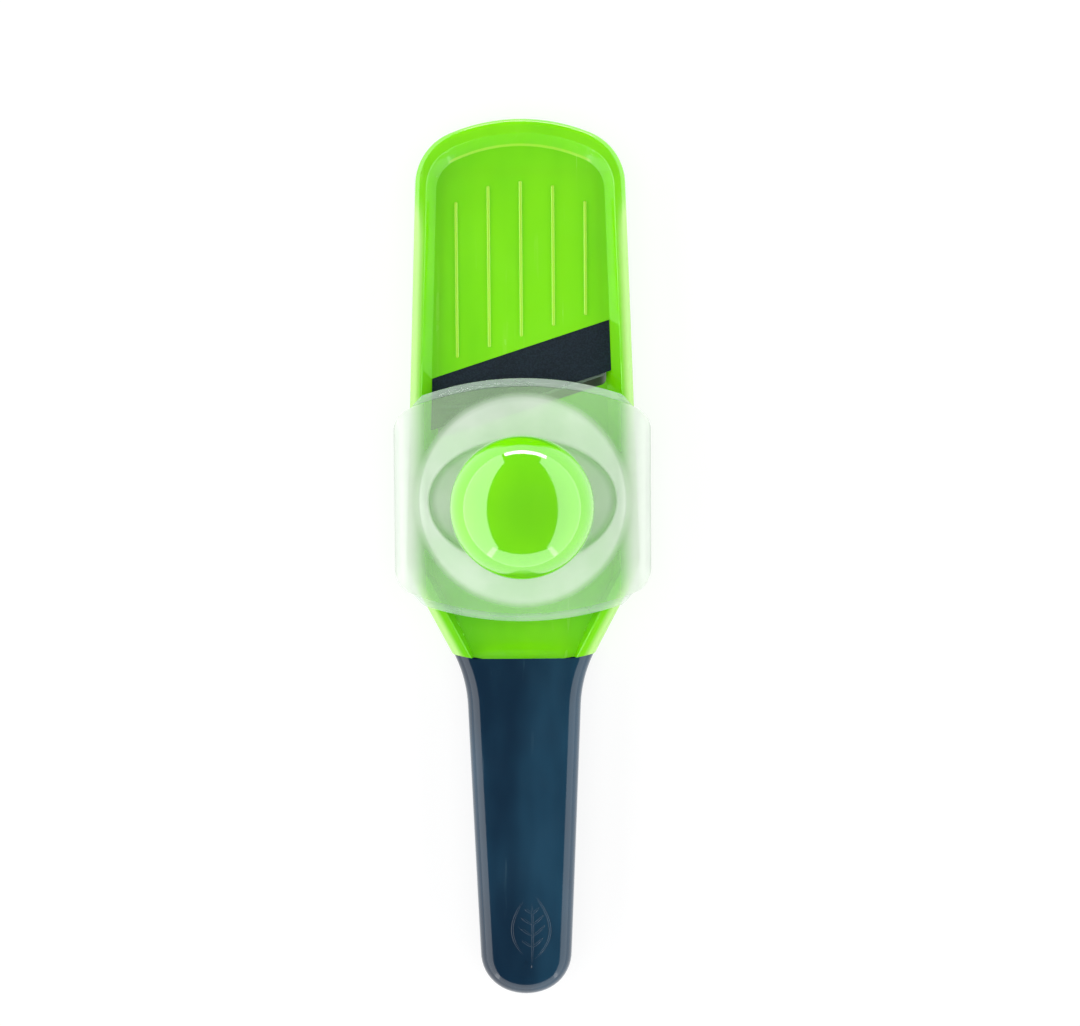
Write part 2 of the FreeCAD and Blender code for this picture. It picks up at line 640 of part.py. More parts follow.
# ---------------------------------------------------------------- handle
def side_profile(inset):
    """Space between the handle's top and bottom lines, seen from the side."""
    front, end = FACE_MIDDLE_Y + 8, -HALF_LENGTH - 1
    middle = (front + end) / 2
    top = Part.Arc(Vector(0, front, HANDLE_TOP[0] - inset), Vector(0, middle, HANDLE_TOP[1] - inset),
                   Vector(0, end, HANDLE_TOP[2] - inset)).toShape()
    points = [
        Vector(0, end, HANDLE_TOP[2] - inset),
        Vector(0, end, HANDLE_BOTTOM[2] + inset),
        Vector(0, HANDLE_FLAT[1], HANDLE_BOTTOM[1] + inset),
        Vector(0, HANDLE_FLAT[0], HANDLE_BOTTOM[1] + inset),
        Vector(0, front, HANDLE_BOTTOM[0] + inset),
        Vector(0, front, HANDLE_TOP[0] - inset),
    ]
    face = Part.Face(Part.Wire([top] + Part.makePolygon(points).Edges))
    solid = face.extrude(Vector(100, 0, 0))
    solid.translate(Vector(-50, 0, 0))
    return solid


def handle_body():
    """The handle's outer shape, both shells together."""
    plan = prism(full_wire(-5), 30).common(block((-FAR, FAR), (-FAR, FACE_MIDDLE_Y + 7), (-FAR, FAR)))
    body = plan.common(side_profile(0)).cut(face_cylinder())

    def rim(edge, high):
        box = edge.BoundBox
        flat_end = box.YMin > FACE_MIDDLE_Y - 1.0
        on_top = box.ZMin > 12
        on_bottom = box.ZMax < 4
        centre = edge.CenterOfMass
        across = abs(centre.x) < 1 and box.XLength > 20 and box.YMin > -HALF_LENGTH + 5
        return not flat_end and not across and (on_top if high else on_bottom)

    body = fillet(body, HANDLE_TOP_FILLET, lambda e: rim(e, True))
    return fillet(body, HANDLE_BOTTOM_FILLET, lambda e: rim(e, False))


def handle_cavity():
    """Hollow inside the handle, with a slot at the front for the tang."""
    plan = prism(full_wire(-5, HANDLE_WALL), 30)
    hollow = plan.common(side_profile(HANDLE_WALL))
    hollow = hollow.common(block((-FAR, FAR), (-FAR, FACE_MIDDLE_Y - 6), (-FAR, FAR)))
    slot = block((-TANG_HALF - FIT, TANG_HALF + FIT), (FACE_MIDDLE_Y - 7, FACE_MIDDLE_Y + 8), TANG_Z)
    return [hollow, slot]


def make_handle():
    """Top and bottom shells of the handle, split at the seam."""
    body = handle_body()
    shell = body.cut(Part.makeCompound(handle_cavity()))
    upper = block((-FAR, FAR), (-FAR, FAR), (SEAM_Z, FAR))
    lower = block((-FAR, FAR), (-FAR, FAR), (-FAR, SEAM_Z))
    pry_x = (-FAR, -HANDLE_POINT[0] + PRY_SLOT_DEPTH)
    pry_slot = block(pry_x, PRY_SLOT_Y, (SEAM_Z - PRY_SLOT_HALF_HEIGHT, SEAM_Z + PRY_SLOT_HALF_HEIGHT))
    high_boss, low_boss = HANDLE_BOSS_RADII
    top = fuse_all([shell.common(upper)] + [
        body.common(upright(high_boss, 0, y, (TANG_Z[1], HANDLE_TOP[1]))) for y in HANDLE_SCREW_Y])
    pilot_z = (TANG_Z[1] - 1, TANG_Z[1] + HANDLE_SCREW_REACH + 0.2)
    pilots = [upright(HANDLE_PILOT_RADIUS, 0, y, pilot_z) for y in HANDLE_SCREW_Y]
    top = top.cut(Part.makeCompound(pilots + [pry_slot]))
    bottom = fuse_all([shell.common(lower)] + [
        body.common(upright(low_boss, 0, y, (0, TANG_Z[0]))) for y in HANDLE_SCREW_Y])
    holes = [upright(HANDLE_SCREW_HOLE, 0, y, (-1, TANG_Z[0] + 1)) for y in HANDLE_SCREW_Y]
    holes += [upright(HANDLE_SCREW_SEAT[0], 0, y, (-1, HANDLE_SCREW_SEAT[1])) for y in HANDLE_SCREW_Y]
    return top, bottom.cut(Part.makeCompound(holes + [pry_slot]))


def make_handle_screws():
    """Two screws from below, through the tang into the top shell."""
    tip = TANG_Z[1] + HANDLE_SCREW_REACH
    shank, head, height = HANDLE_SCREW
    return Part.makeCompound([
        pan_screw(0, y, HANDLE_SCREW_SEAT[1], tip, shank, head, height) for y in HANDLE_SCREW_Y])


# ---------------------------------------------------------------- guard
def guard_plan(grow, z):
    """Plan of the guard, bowed at both ends."""
    sag = GUARD_END_RADIUS - math.sqrt(GUARD_END_RADIUS ** 2 - GUARD_HALF_WIDTH ** 2)
    reach = GUARD_HALF_LENGTH + grow
    width = GUARD_HALF_WIDTH
    corners = [Vector(sx * width, GUARD_Y + sy * (reach - sag), z)
               for sx, sy in ((-1, 1), (1, 1), (1, -1), (-1, -1))]
    edges = [
        Part.Arc(corners[0], Vector(0, GUARD_Y + reach, z), corners[1]).toShape(),
        Part.LineSegment(corners[1], corners[2]).toShape(),
        Part.Arc(corners[2], Vector(0, GUARD_Y - reach, z), corners[3]).toShape(),
        Part.LineSegment(corners[3], corners[0]).toShape(),
    ]
    return Part.Wire(edges)


def guard_section():
    """Inverted U across the guard: plate, rounded shoulders and skirts."""
    half, wall, round_out = GUARD_HALF_WIDTH, GUARD_WALL, GUARD_SHOULDER
    round_in = round_out - wall
    turn = math.sqrt(0.5)
    cx, cz = half - round_out, GUARD_TOP - round_out

    def shoulder(radius, side):
        points = [(cx + radius, cz), (cx + radius * turn, cz + radius * turn), (cx, cz + radius)]
        return Part.Arc(*[Vector(side * x, 0, z) for x, z in points]).toShape()

    def line(x1, z1, x2, z2):
        return Part.LineSegment(Vector(x1, 0, z1), Vector(x2, 0, z2)).toShape()

    edges = [
        line(-half, cz, -half, SKIRT_BOTTOM), line(-half, SKIRT_BOTTOM, -half + wall, SKIRT_BOTTOM),
        line(-half + wall, SKIRT_BOTTOM, -half + wall, cz), shoulder(round_in, -1),
        line(-cx, GUARD_TOP - wall, cx, GUARD_TOP - wall), shoulder(round_in, 1),
        line(half - wall, cz, half - wall, SKIRT_BOTTOM), line(half - wall, SKIRT_BOTTOM, half, SKIRT_BOTTOM),
        line(half, SKIRT_BOTTOM, half, cz), shoulder(round_out, 1),
        line(cx, GUARD_TOP, -cx, GUARD_TOP), shoulder(round_out, -1),
    ]
    face = Part.Face(Part.Wire(Part.__sortEdges__(edges)))
    solid = face.extrude(Vector(0, 3 * GUARD_HALF_LENGTH, 0))
    solid.translate(Vector(0, GUARD_Y - 1.5 * GUARD_HALF_LENGTH, 0))
    return solid


def dome_cap(shrink):
    """Spherical cap of the dome, above the plate."""
    centre_z = GUARD_TOP - math.sqrt(DOME_SPHERE ** 2 - DOME_FOOT ** 2)
    ball = Part.makeSphere(DOME_SPHERE - shrink, Vector(0, GUARD_Y, centre_z))
    return ball.common(upright(DOME_FOOT + 1, 0, GUARD_Y, (GUARD_TOP - GUARD_WALL, 40)))


def make_guard():
    """Frosted saddle: plate, skirts, lips, inner end walls, dome, dish and stem."""
    plan = fillet(prism(guard_plan(0, 0), 30), GUARD_CORNER, is_upright)
    shell = guard_section().common(plan)
    lip = prism(guard_plan(LIP_REACH, LIP_Z[0]), LIP_Z[1])
    lip = fillet(lip, GUARD_CORNER, lambda e: e.BoundBox.ZLength > 0.5)
    lip_half = GUARD_HALF_WIDTH - GUARD_CORNER + 0.2
    lip = lip.common(block((-lip_half, lip_half), (-FAR, FAR), (0, FAR)))
    lip = lip.cut(prism(guard_plan(-1.5, LIP_Z[0] - 1), LIP_Z[1] + 1))
    wall = prism(guard_plan(LIP_REACH, END_WALL_BOTTOM), LIP_Z[1])
    wall = wall.cut(prism(guard_plan(LIP_REACH - END_WALL_THICKNESS, 0), FAR))
    wall = wall.common(block((-END_WALL_HALF, END_WALL_HALF), (-FAR, FAR), (0, FAR)))
    hole = upright(DOME_FOOT - DOME_WALL, 0, GUARD_Y, (0, GUARD_TOP))
    plate = shell.cut(hole)
    outer, inner = dome_cap(0), dome_cap(DOME_WALL)
    foot = upright(DOME_FOOT, 0, GUARD_Y, (GUARD_TOP - GUARD_WALL, FAR))
    outer = outer.common(foot)
    dish_outer = [r + DISH_WALL for r in DISH_RADII]
    dome = outer.cut(inner)
    dome = dome.fuse(ellipse_prism(dish_outer, GUARD_Y, (DISH_FLOOR[0], 40)).common(outer))
    dome = dome.cut(ellipse_prism(DISH_RADII, GUARD_Y, (DISH_FLOOR[1], 40)))
    stem = upright(STEM_RADIUS, 0, GUARD_Y, (DISH_FLOOR[0], STEM_TOP))
    guard = fuse_all([plate, lip, wall, dome, stem])
    return guard.cut(upright(SCREW_RADIUS + SCREW_CLEARANCE, 0, GUARD_Y, (0, FAR)))


def knob_half(upper):
    """Revolved half of the ball knob as a thick shell."""
    height = KNOB_TOP - KNOB_EQUATOR if upper else KNOB_EQUATOR - STEM_TOP
    outer = ellipsoid(KNOB_RADIUS, height if upper else height * KNOB_LOWER_STRETCH)
    inner = ellipsoid(KNOB_RADIUS - KNOB_WALL, height - KNOB_WALL)
    keep = (KNOB_EQUATOR, FAR) if upper else (STEM_TOP, KNOB_EQUATOR)
    return outer.cut(inner).common(upright(FAR, 0, GUARD_Y, keep))


def ellipsoid(radius, height):
    """Ellipsoid of revolution at the knob's centre."""
    ball = Part.makeSphere(radius)
    matrix = FreeCAD.Matrix()
    matrix.scale(1, 1, height / radius)
    shape = ball.transformGeometry(matrix)
    shape.translate(Vector(0, GUARD_Y, KNOB_EQUATOR))
    return Part.Solid(shape.Shells[0])


def make_knob():
    """The knob's dome and its base with the boss for the insert."""
    dome = knob_half(True)
    base = knob_half(False)
    below, above, thickness = KNOB_SPIGOT
    inner_radius = KNOB_RADIUS - KNOB_WALL
    boss = upright(KNOB_BOSS_RADIUS, 0, GUARD_Y, (STEM_TOP, KNOB_EQUATOR - INSERT_ENDS[1] + 1))
    spigot = upright(inner_radius - FIT, 0, GUARD_Y, (KNOB_EQUATOR - below, KNOB_EQUATOR + above))
    spigot = spigot.cut(upright(inner_radius - thickness, 0, GUARD_Y, (0, FAR)))
    spigot = spigot.cut(dome)
    base = fuse_all([base, boss, spigot])
    base = base.cut(upright(INSERT_RADIUS, 0, GUARD_Y, (STEM_TOP + INSERT_ENDS[0], FAR)))
    base = base.cut(upright(SCREW_RADIUS + SCREW_CLEARANCE, 0, GUARD_Y, (0, FAR)))
    return dome, base


def make_insert():
    """Brass insert in the knob's boss."""
    z = (STEM_TOP + INSERT_ENDS[0], KNOB_EQUATOR - INSERT_ENDS[1])
    body = upright(INSERT_RADIUS, 0, GUARD_Y, z)
    return body.cut(upright(SCREW_RADIUS + FIT, 0, GUARD_Y, z))


def make_pin_plate():
    """Oval steel plate under the dish."""
    plate = ellipse_prism(PIN_PLATE_RADII, GUARD_Y, PIN_PLATE_Z)
    holes = [upright(PIN_RADIUS + FIT, x, y, (0, FAR)) for x, y in pin_places()]
    holes.append(upright(SCREW_RADIUS + 2 * FIT, 0, GUARD_Y, (0, FAR)))
    return plate.cut(Part.makeCompound(holes))


def pin_places():
    """Pins evenly spaced in angle round an oval."""
    turns = [2 * math.pi * (i + 0.5) / PIN_COUNT for i in range(PIN_COUNT)]
    return [(PIN_RING_RADII[0] * math.cos(a), GUARD_Y + PIN_RING_RADII[1] * math.sin(a)) for a in turns]


def make_pins():
    """Pointed steel pins through the plate."""
    pins = []
    for x, y in pin_places():
        shaft = upright(PIN_RADIUS, x, y, (PIN_TIP_Z + PIN_POINT, PIN_PLATE_Z[1]))
        point = Part.makeCone(0.12, PIN_RADIUS, PIN_POINT, Vector(x, y, PIN_TIP_Z))
        pins.append(fuse_all([shaft, point]))
    return Part.makeCompound(pins)


def make_knob_screw():
    """Screw up through the washer, plate and stem into the insert."""
    seat = PIN_PLATE_Z[0] - WASHER_THICKNESS
    return pan_screw(0, GUARD_Y, seat, KNOB_EQUATOR - SCREW_TIP_GAP, SCREW_RADIUS, *SCREW_HEAD)


def make_washer():
    """Washer between the screw's head and the pin plate."""
    z = (PIN_PLATE_Z[0] - WASHER_THICKNESS, PIN_PLATE_Z[0])
    return upright(WASHER_RADIUS, 0, GUARD_Y, z).cut(upright(SCREW_RADIUS + 2 * FIT, 0, GUARD_Y, z))


def main():
    """Builds every node and writes one STEP file for each."""
    os.makedirs("parts", exist_ok=True)
    export("tray", make_tray())
    export("blade_holder", make_holder())
    export("blade", make_blade())
    export("blade_clamp", make_clamp())
    export("blade_screws", make_blade_screws())
    export("head_feet", make_feet())
    top, bottom = make_handle()
    export("handle_top_shell", top)
    export("handle_bottom_shell", bottom)
    export("handle_screws", make_handle_screws())
    export("guard_shell", make_guard())
    dome, base = make_knob()
    export("knob_dome", dome)
    export("knob_base", base)
    export("knob_insert", make_insert())
    export("knob_screw", make_knob_screw())
    export("knob_washer", make_washer())
    export("pin_plate", make_pin_plate())
    export("food_pins", make_pins())


main()
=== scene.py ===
"""Looks of the hand-held mandoline slicer: its meshes, finishes, light and camera.

Lengths in the classes that make meshes are millimetres in the slicer's own frame, +Y towards the
arched end, +Z up from the table. Lengths in the finishes and the studio are metres, but for relief
depths and the rail outline in TrayZones, which are millimetres.
"""
import logging
import math
from collections.abc import Callable, Sequence
from dataclasses import dataclass
from enum import Enum

import bmesh
import bpy
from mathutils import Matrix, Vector


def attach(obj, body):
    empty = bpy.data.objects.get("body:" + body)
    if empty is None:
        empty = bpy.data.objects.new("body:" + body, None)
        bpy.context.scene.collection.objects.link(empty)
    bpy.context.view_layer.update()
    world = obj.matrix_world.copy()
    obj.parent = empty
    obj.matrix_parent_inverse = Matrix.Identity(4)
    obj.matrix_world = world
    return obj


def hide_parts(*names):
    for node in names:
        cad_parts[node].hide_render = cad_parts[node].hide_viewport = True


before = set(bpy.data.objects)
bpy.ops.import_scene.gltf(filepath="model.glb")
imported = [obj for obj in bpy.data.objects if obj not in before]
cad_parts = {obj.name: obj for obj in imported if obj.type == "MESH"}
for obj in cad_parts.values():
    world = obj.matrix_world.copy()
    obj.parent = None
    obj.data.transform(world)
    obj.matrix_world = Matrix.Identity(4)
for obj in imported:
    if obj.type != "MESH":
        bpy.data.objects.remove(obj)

MM = 0.001
log = logging.getLogger("slicer")

Point = tuple[float, float]
Solid = tuple[float, float, float]


# ------------------------------------------------------------------ shader expressions
class Term:
    """A shader socket that takes part in Python expressions, each operator adding one Math node."""

    def __init__(self, graph: "Graph", socket: bpy.types.NodeSocket) -> None:
        """Keeps the graph and the socket."""
        self.graph = graph
        self.socket = socket

    def maths(self, operation: str, *others: "Term | float", swap: bool = False) -> "Term":
        """Adds a Math node.

        Args:
            operation: the node's operation.
            others: the other inputs.
            swap: whether this term comes after the first of the others.

        Returns:
            The node's result.
        """
        inputs = [self, *others]
        if swap:
            inputs[0], inputs[1] = inputs[1], inputs[0]
        return self.graph.node("ShaderNodeMath", {"operation": operation}, *inputs)

    def __add__(self, other: "Term | float") -> "Term":
        """Sum."""
        return self.maths("ADD", other)

    __radd__ = __add__

    def __sub__(self, other: "Term | float") -> "Term":
        """Difference."""
        return self.maths("SUBTRACT", other)

    def __rsub__(self, other: "Term | float") -> "Term":
        """Reflected difference."""
        return self.maths("SUBTRACT", other, swap=True)

    def __mul__(self, other: "Term | float") -> "Term":
        """Product."""
        return self.maths("MULTIPLY", other)

    __rmul__ = __mul__

    def __pow__(self, other: "Term | float") -> "Term":
        """Power."""
        return self.maths("POWER", other)

    def at_least(self, other: "Term | float") -> "Term":
        """The larger of two values."""
        return self.maths("MAXIMUM", other)

    def span(self, low: float, high: float, to_low: float = 0.0, to_high: float = 1.0) -> "Term":
        """Maps a range smoothly to another and clamps it.

        Args:
            low: value that becomes to_low.
            high: value that becomes to_high.
            to_low: result at low.
            to_high: result at high.

        Returns:
            The mapped value.
        """
        settings = {"interpolation_type": "SMOOTHSTEP"}
        return self.graph.node("ShaderNodeMapRange", settings, self, low, high, to_low, to_high)


class Graph:
    """The node tree of one material, with object space as its only coordinates."""

    def __init__(self, name: str) -> None:
        """Makes the material and its Principled shader."""
        self.material = bpy.data.materials.new(name)
        self.material.use_nodes = True
        self.tree = self.material.node_tree
        self.shader = self.tree.nodes["Principled BSDF"]
        self.place = self.node("ShaderNodeTexCoord", {}, output="Object")

    def node(self, kind: str, settings: dict[str, object], *values: object,
             output: str | int = 0, **named: object) -> Term:
        """Adds any node.

        Args:
            kind: the node's type name.
            settings: its properties, set first.
            values: values or terms of its first visible sockets, in order.
            output: name or index of the socket to return.
            named: values or terms of sockets by name, with underscores for spaces.

        Returns:
            The chosen output.
        """
        made = self.tree.nodes.new(kind)
        for key, value in settings.items():
            setattr(made, key, value)
        sockets = [s for s in made.inputs if s.enabled]
        for socket, value in zip(sockets, values):
            self.feed(socket, value)
        by_name = {s.name.replace(" ", "_"): s for s in sockets}
        for key, value in named.items():
            self.feed(by_name[key], value)
        if isinstance(output, int):
            return Term(self, [s for s in made.outputs if s.enabled][output])
        return Term(self, made.outputs[output])

    def feed(self, socket: bpy.types.NodeSocket, value: object) -> None:
        """Links a term to a socket, or sets the socket's own value."""
        if isinstance(value, Term):
            self.tree.links.new(value.socket, socket)
        elif isinstance(value, tuple) and len(value) == 3 and socket.type == "RGBA":
            socket.default_value = (*value, 1.0)
        else:
            socket.default_value = value

    def stretched(self, scale: Solid) -> Term:
        """Object coordinates, in metres, multiplied along each axis."""
        return self.node("ShaderNodeMapping", {}, self.place, Scale=scale)

    def axis(self, name: str) -> Term:
        """One object coordinate, in metres."""
        return self.node("ShaderNodeSeparateXYZ", {}, self.place, output=name)

    def noise(self, per_metre: float, detail: float = 3.0, stretch: Solid = (1, 1, 1)) -> Term:
        """Fractal noise in object space.

        Args:
            per_metre: how many features fit in a metre.
            detail: how many octaves it has.
            stretch: extra scale along each axis.

        Returns:
            A value about 0.5.
        """
        place = self.stretched(stretch)
        return self.node("ShaderNodeTexNoise", {}, Vector=place, Scale=per_metre, Detail=detail)

    def blend(self, mask: "Term | float", low: object, high: object) -> Term:
        """Mixes two colours by a mask."""
        return self.node("ShaderNodeMix", {"data_type": "RGBA"}, mask, low, high)

    def relief(self, height: Term, depth_mm: float, normal: Term | None = None) -> Term:
        """A bump of a depth in millimetres, on top of another if one is given."""
        named = {"Height": height, "Distance": depth_mm * MM, "Strength": 1.0}
        if normal is not None:
            named["Normal"] = normal
        return self.node("ShaderNodeBump", {}, **named)

    def shade(self, **sockets: object) -> None:
        """Sets or links the shader's sockets by name, with underscores for spaces."""
        for key, value in sockets.items():
            self.feed(self.shader.inputs[key.replace("_", " ")], value)


# ------------------------------------------------------------------ finishes
def srgb(red: int, green: int, blue: int) -> Solid:
    """Linear colour from 0 to 255 display values."""
    channels = []
    for value in (red, green, blue):
        c = value / 255
        channels.append(c / 12.92 if c <= 0.04045 else ((c + 0.055) / 1.055) ** 2.4)
    return tuple(channels)


class Slot(Enum):
    """The record's material slots."""

    GREEN = "green_abs"
    TEXTURED = "dark_textured_plastic"
    BLADE = "blade_steel"
    SCREW = "screw_steel"
    RUBBER = "foot_rubber"
    NAVY = "navy_gloss_plastic"
    FROSTED = "frosted_clear"
    KNOB = "green_gloss_knob"
    BRASS = "insert_brass"
    PLATE = "plate_steel"


@dataclass(frozen=True)
class TrayZones:
    """Painted highlights on the tray's rail edges and rib tops. The rail outline is in millimetres, the rest
    in metres.
    """

    rail_half: float = 35.8
    rail_taper: float = 0.0347
    neck_half: float = 30.2
    neck_y: float = -11.9
    neck_flare: float = 0.527
    band_width: float = 3.6
    band_fade: float = 1.6
    band_end: Point = (96.0, 116.0)
    crown: float = 0.085
    rail_top_z: Point = (0.0120, 0.0142)
    rib_x: Point = (0.0205, 0.0220)
    rib_y: Point = (0.058, 0.062)
    rib_foot_z: Point = (0.01055, 0.01085)
    rib_head_z: Point = (0.0113, 0.0116)
    rail_highlight_colour: Solid = (0.78, 0.97, 0.42)
    rib_highlight_colour: Solid = (0.52, 0.86, 0.05)

    def rail_band(self, graph: Graph) -> Term:
        """How far, in millimetres, a place is into the outer part of the rail tops, up to the arch."""
        across = graph.axis("X").maths("ABSOLUTE") * 1000.0
        along = graph.axis("Y") * 1000.0
        rail = self.rail_half - along * self.rail_taper
        neck = along * self.neck_flare + (self.neck_half - self.neck_flare * self.neck_y)
        past = (across - rail.maths("MINIMUM", neck) + self.band_width).at_least(0.0)
        on_top = graph.axis("Z").span(*self.rail_top_z)
        return past * on_top * along.span(*self.band_end, 1.0, 0.0)

    def rib_tops(self, graph: Graph) -> Term:
        """1 on the deck ribs' tops and, at their height, on the middle of the arch's walls, else 0."""
        inside = graph.axis("X").maths("ABSOLUTE").span(*self.rib_x, 1.0, 0.0)
        height = graph.axis("Z")
        raised = height.span(*self.rib_foot_z) * height.span(*self.rib_head_z, 1.0, 0.0)
        return raised * graph.axis("Y").span(*self.rib_y) * inside

    def paint(self, graph: Graph, base: Term, normal: Term) -> tuple[Term, Term]:
        """Paints highlights on the rail edges and the rib tops, and crowns the rail edges.

        Args:
            graph: the tray's material.
            base: its colour so far.
            normal: its relief so far.

        Returns:
            The new colour and relief.
        """
        band = self.rail_band(graph)
        normal = graph.relief(band * band * -self.crown, 1.0, normal)
        # painted highlight: the outer rail tops and the rib tops are paled towards light colours
        base = graph.blend(band.span(0.0, self.band_fade) * 0.42, base, self.rail_highlight_colour)
        return graph.blend(self.rib_tops(graph) * 0.70, base, self.rib_highlight_colour), normal


@dataclass(frozen=True)
class GlossMoulding:
    """Shiny injection-moulded plastic: faint flow marks, orange peel, scuffs and settled dust."""

    name: str
    colour: Solid
    deep: Solid
    scuffed: Solid
    roughness: float = 0.16
    index: float = 1.50
    coat: float = 0.20
    scuff_amount: float = 0.35
    peel_mm: float = 0.012
    glow: float = 0.0
    zones: TrayZones | None = None

    def make(self) -> bpy.types.Material:
        """Builds the material."""
        graph = Graph(self.name)
        flow = graph.noise(38.0, 3.0, (1.0, 0.35, 1.0)).span(0.35, 0.68)
        specks = graph.noise(2600.0, 2.0).span(0.70, 0.80)
        scratches = graph.noise(420.0, 3.0, (1.0, 0.06, 1.0)).span(0.62, 0.72)
        patches = graph.noise(70.0, 2.0).span(0.42, 0.70)
        scuffs = scratches * patches * self.scuff_amount
        base = graph.blend(flow, self.deep, self.colour)
        base = graph.blend(scuffs, base, self.scuffed)
        peel = graph.noise(620.0, 2.0)
        normal = graph.relief(peel, self.peel_mm)
        normal = graph.relief(scratches * patches, -0.006, normal)
        # the tray's zones add painted highlights on its rail edges and rib tops
        if self.zones is not None:
            base, normal = self.zones.paint(graph, base, normal)
        graph.shade(
            Base_Color=base,
            Roughness=scuffs * 0.4 + patches * 0.05 + specks * 0.08 + self.roughness,
            Normal=normal, IOR=self.index, Coat_Weight=self.coat, Coat_Roughness=0.05,
            Subsurface_Weight=self.glow, Subsurface_Scale=0.004,
            Subsurface_Radius=(0.6, 1.0, 0.2))
        return graph.material


@dataclass(frozen=True)
class SparkedPlastic:
    """Dark plastic with a fine spark-eroded grain and pale grains worn through it."""

    name: str
    colour: Solid
    grain: Solid

    def make(self) -> bpy.types.Material:
        """Builds the material."""
        graph = Graph(self.name)
        grain = graph.noise(1900.0, 4.0).span(0.38, 0.66)
        coarse = graph.noise(620.0, 2.0)
        cloud = graph.noise(55.0, 2.0).span(0.3, 0.75)
        rub = graph.noise(300.0, 3.0, (0.08, 1.0, 1.0)).span(0.60, 0.72) * cloud
        base = graph.blend(grain * 0.55 + cloud * 0.18, self.colour, self.grain)
        base = graph.blend(rub * 0.3, base, srgb(96, 112, 124))
        normal = graph.relief(grain + coarse * 0.5, 0.05)
        graph.shade(Base_Color=base, Roughness=0.62 - rub * 0.2 - grain * 0.08, Normal=normal, IOR=1.5)
        return graph.material


@dataclass(frozen=True)
class ClearPlastic:
    """See-through plastic with cloudy flow in its tint and fine streaks."""

    name: str
    tint: Solid
    milk: Solid
    roughness: float
    alpha: float

    def make(self) -> bpy.types.Material:
        """Builds the material."""
        graph = Graph(self.name)
        cloud = graph.noise(60.0, 3.0).span(0.3, 0.7)
        grain = graph.noise(1500.0, 2.0)
        streak = graph.noise(260.0, 3.0, (1.0, 0.12, 1.0)).span(0.60, 0.74)
        base = graph.blend(cloud, self.tint, self.milk)
        graph.shade(
            Base_Color=base,
            Roughness=cloud * 0.08 + streak * 0.12 + self.roughness,
            Normal=graph.relief(grain, 0.004 * self.roughness),
            IOR=1.30, Alpha=self.alpha, Coat_Weight=0.25, Coat_Roughness=0.08)
        return graph.material


@dataclass(frozen=True)
class SaddlePlastic:
    """The guard's sheet: milky over the dome and the skirts, clearer in the corners and the dish, with
    painted shade on the lower skirts.
    """

    name: str
    mint: Solid
    white: Solid
    leaf: Solid
    # painted shade: a darker tint laid on the sheet's lower parts, below the shoulders
    edge: Solid
    centre_y: float = 0.0197
    dome_radius: float = 0.0314
    dish: Point = (0.0284, 0.019)
    skirt_x: Point = (0.0285, 0.0345)
    dome_alpha: float = 0.46
    corner_alpha: float = 0.22
    skirt_alpha: float = 0.62
    dish_alpha: float = 0.56
    rim_alpha: float = 0.44

    def make(self) -> bpy.types.Material:
        """Builds the material."""
        graph = Graph(self.name)
        x = graph.axis("X")
        y = graph.axis("Y") - self.centre_y
        radius = (x * x + y * y) ** 0.5
        oval = ((x * (1 / self.dish[0])) ** 2 + (y * (1 / self.dish[1])) ** 2) ** 0.5
        across = x.maths("ABSOLUTE")
        outside = radius.span(self.dome_radius - 0.0004, self.dome_radius + 0.0022)
        skirt = across.span(*self.skirt_x)
        past_rim = oval.span(1.0, 1.10)
        in_dish = oval.span(0.90, 0.97, 1.0, 0.0)
        cloud = graph.noise(60.0, 3.0).span(0.3, 0.7)
        streak = graph.noise(260.0, 3.0, (1.0, 0.12, 1.0)).span(0.60, 0.74)
        grain = graph.noise(1500.0, 2.0)
        alpha = past_rim * (self.dome_alpha - self.rim_alpha) + self.rim_alpha
        alpha = alpha + in_dish * (self.dish_alpha - self.rim_alpha)
        alpha = alpha - outside * (self.dome_alpha - self.corner_alpha) + cloud * 0.05
        alpha = alpha + skirt * (self.skirt_alpha - self.corner_alpha)
        base = graph.blend(cloud * 0.6, self.mint, self.white)
        base = graph.blend(outside * 0.7, base, self.leaf)
        base = graph.blend(skirt, base, self.white)
        # painted shade: the sheet darkens towards the edge colour as it drops from the shoulders down the
        # skirts
        base = graph.blend(graph.axis("Z").span(0.0105, 0.0150, 0.85, 0.0), base, self.edge)
        graph.shade(
            Base_Color=base, Alpha=alpha,
            Roughness=cloud * 0.08 + streak * 0.12 + 0.30,
            Normal=graph.relief(grain, 0.004), IOR=1.45, Coat_Weight=0.25, Coat_Roughness=0.08)
        return graph.material


@dataclass(frozen=True)
class Metal:
    """Bare metal with fine marks along one direction."""

    name: str
    colour: Solid
    shade: Solid
    roughness: float
    stretch: Solid = (0.05, 1.0, 1.0)
    marks_per_metre: float = 2400.0

    def make(self) -> bpy.types.Material:
        """Builds the material."""
        graph = Graph(self.name)
        marks = graph.noise(self.marks_per_metre, 2.0, self.stretch)
        stain = graph.noise(120.0, 3.0).span(0.45, 0.75)
        base = graph.blend(marks * 0.6 + stain * 0.3, self.colour, self.shade)
        graph.shade(
            Base_Color=base, Metallic=1.0,
            Roughness=marks * 0.14 + stain * 0.10 + self.roughness,
            Normal=graph.relief(marks, 0.006))
        return graph.material


@dataclass(frozen=True)
class Rubber:
    """Matt black rubber with dusty wear."""

    name: str
    colour: Solid
    dust: Solid

    def make(self) -> bpy.types.Material:
        """Builds the material."""
        graph = Graph(self.name)
        dust = graph.noise(260.0, 4.0).span(0.45, 0.75)
        pores = graph.noise(2200.0, 2.0)
        graph.shade(
            Base_Color=graph.blend(dust * 0.5, self.colour, self.dust),
            Roughness=0.78 + dust * 0.15, Normal=graph.relief(pores, 0.03), IOR=1.5)
        return graph.material


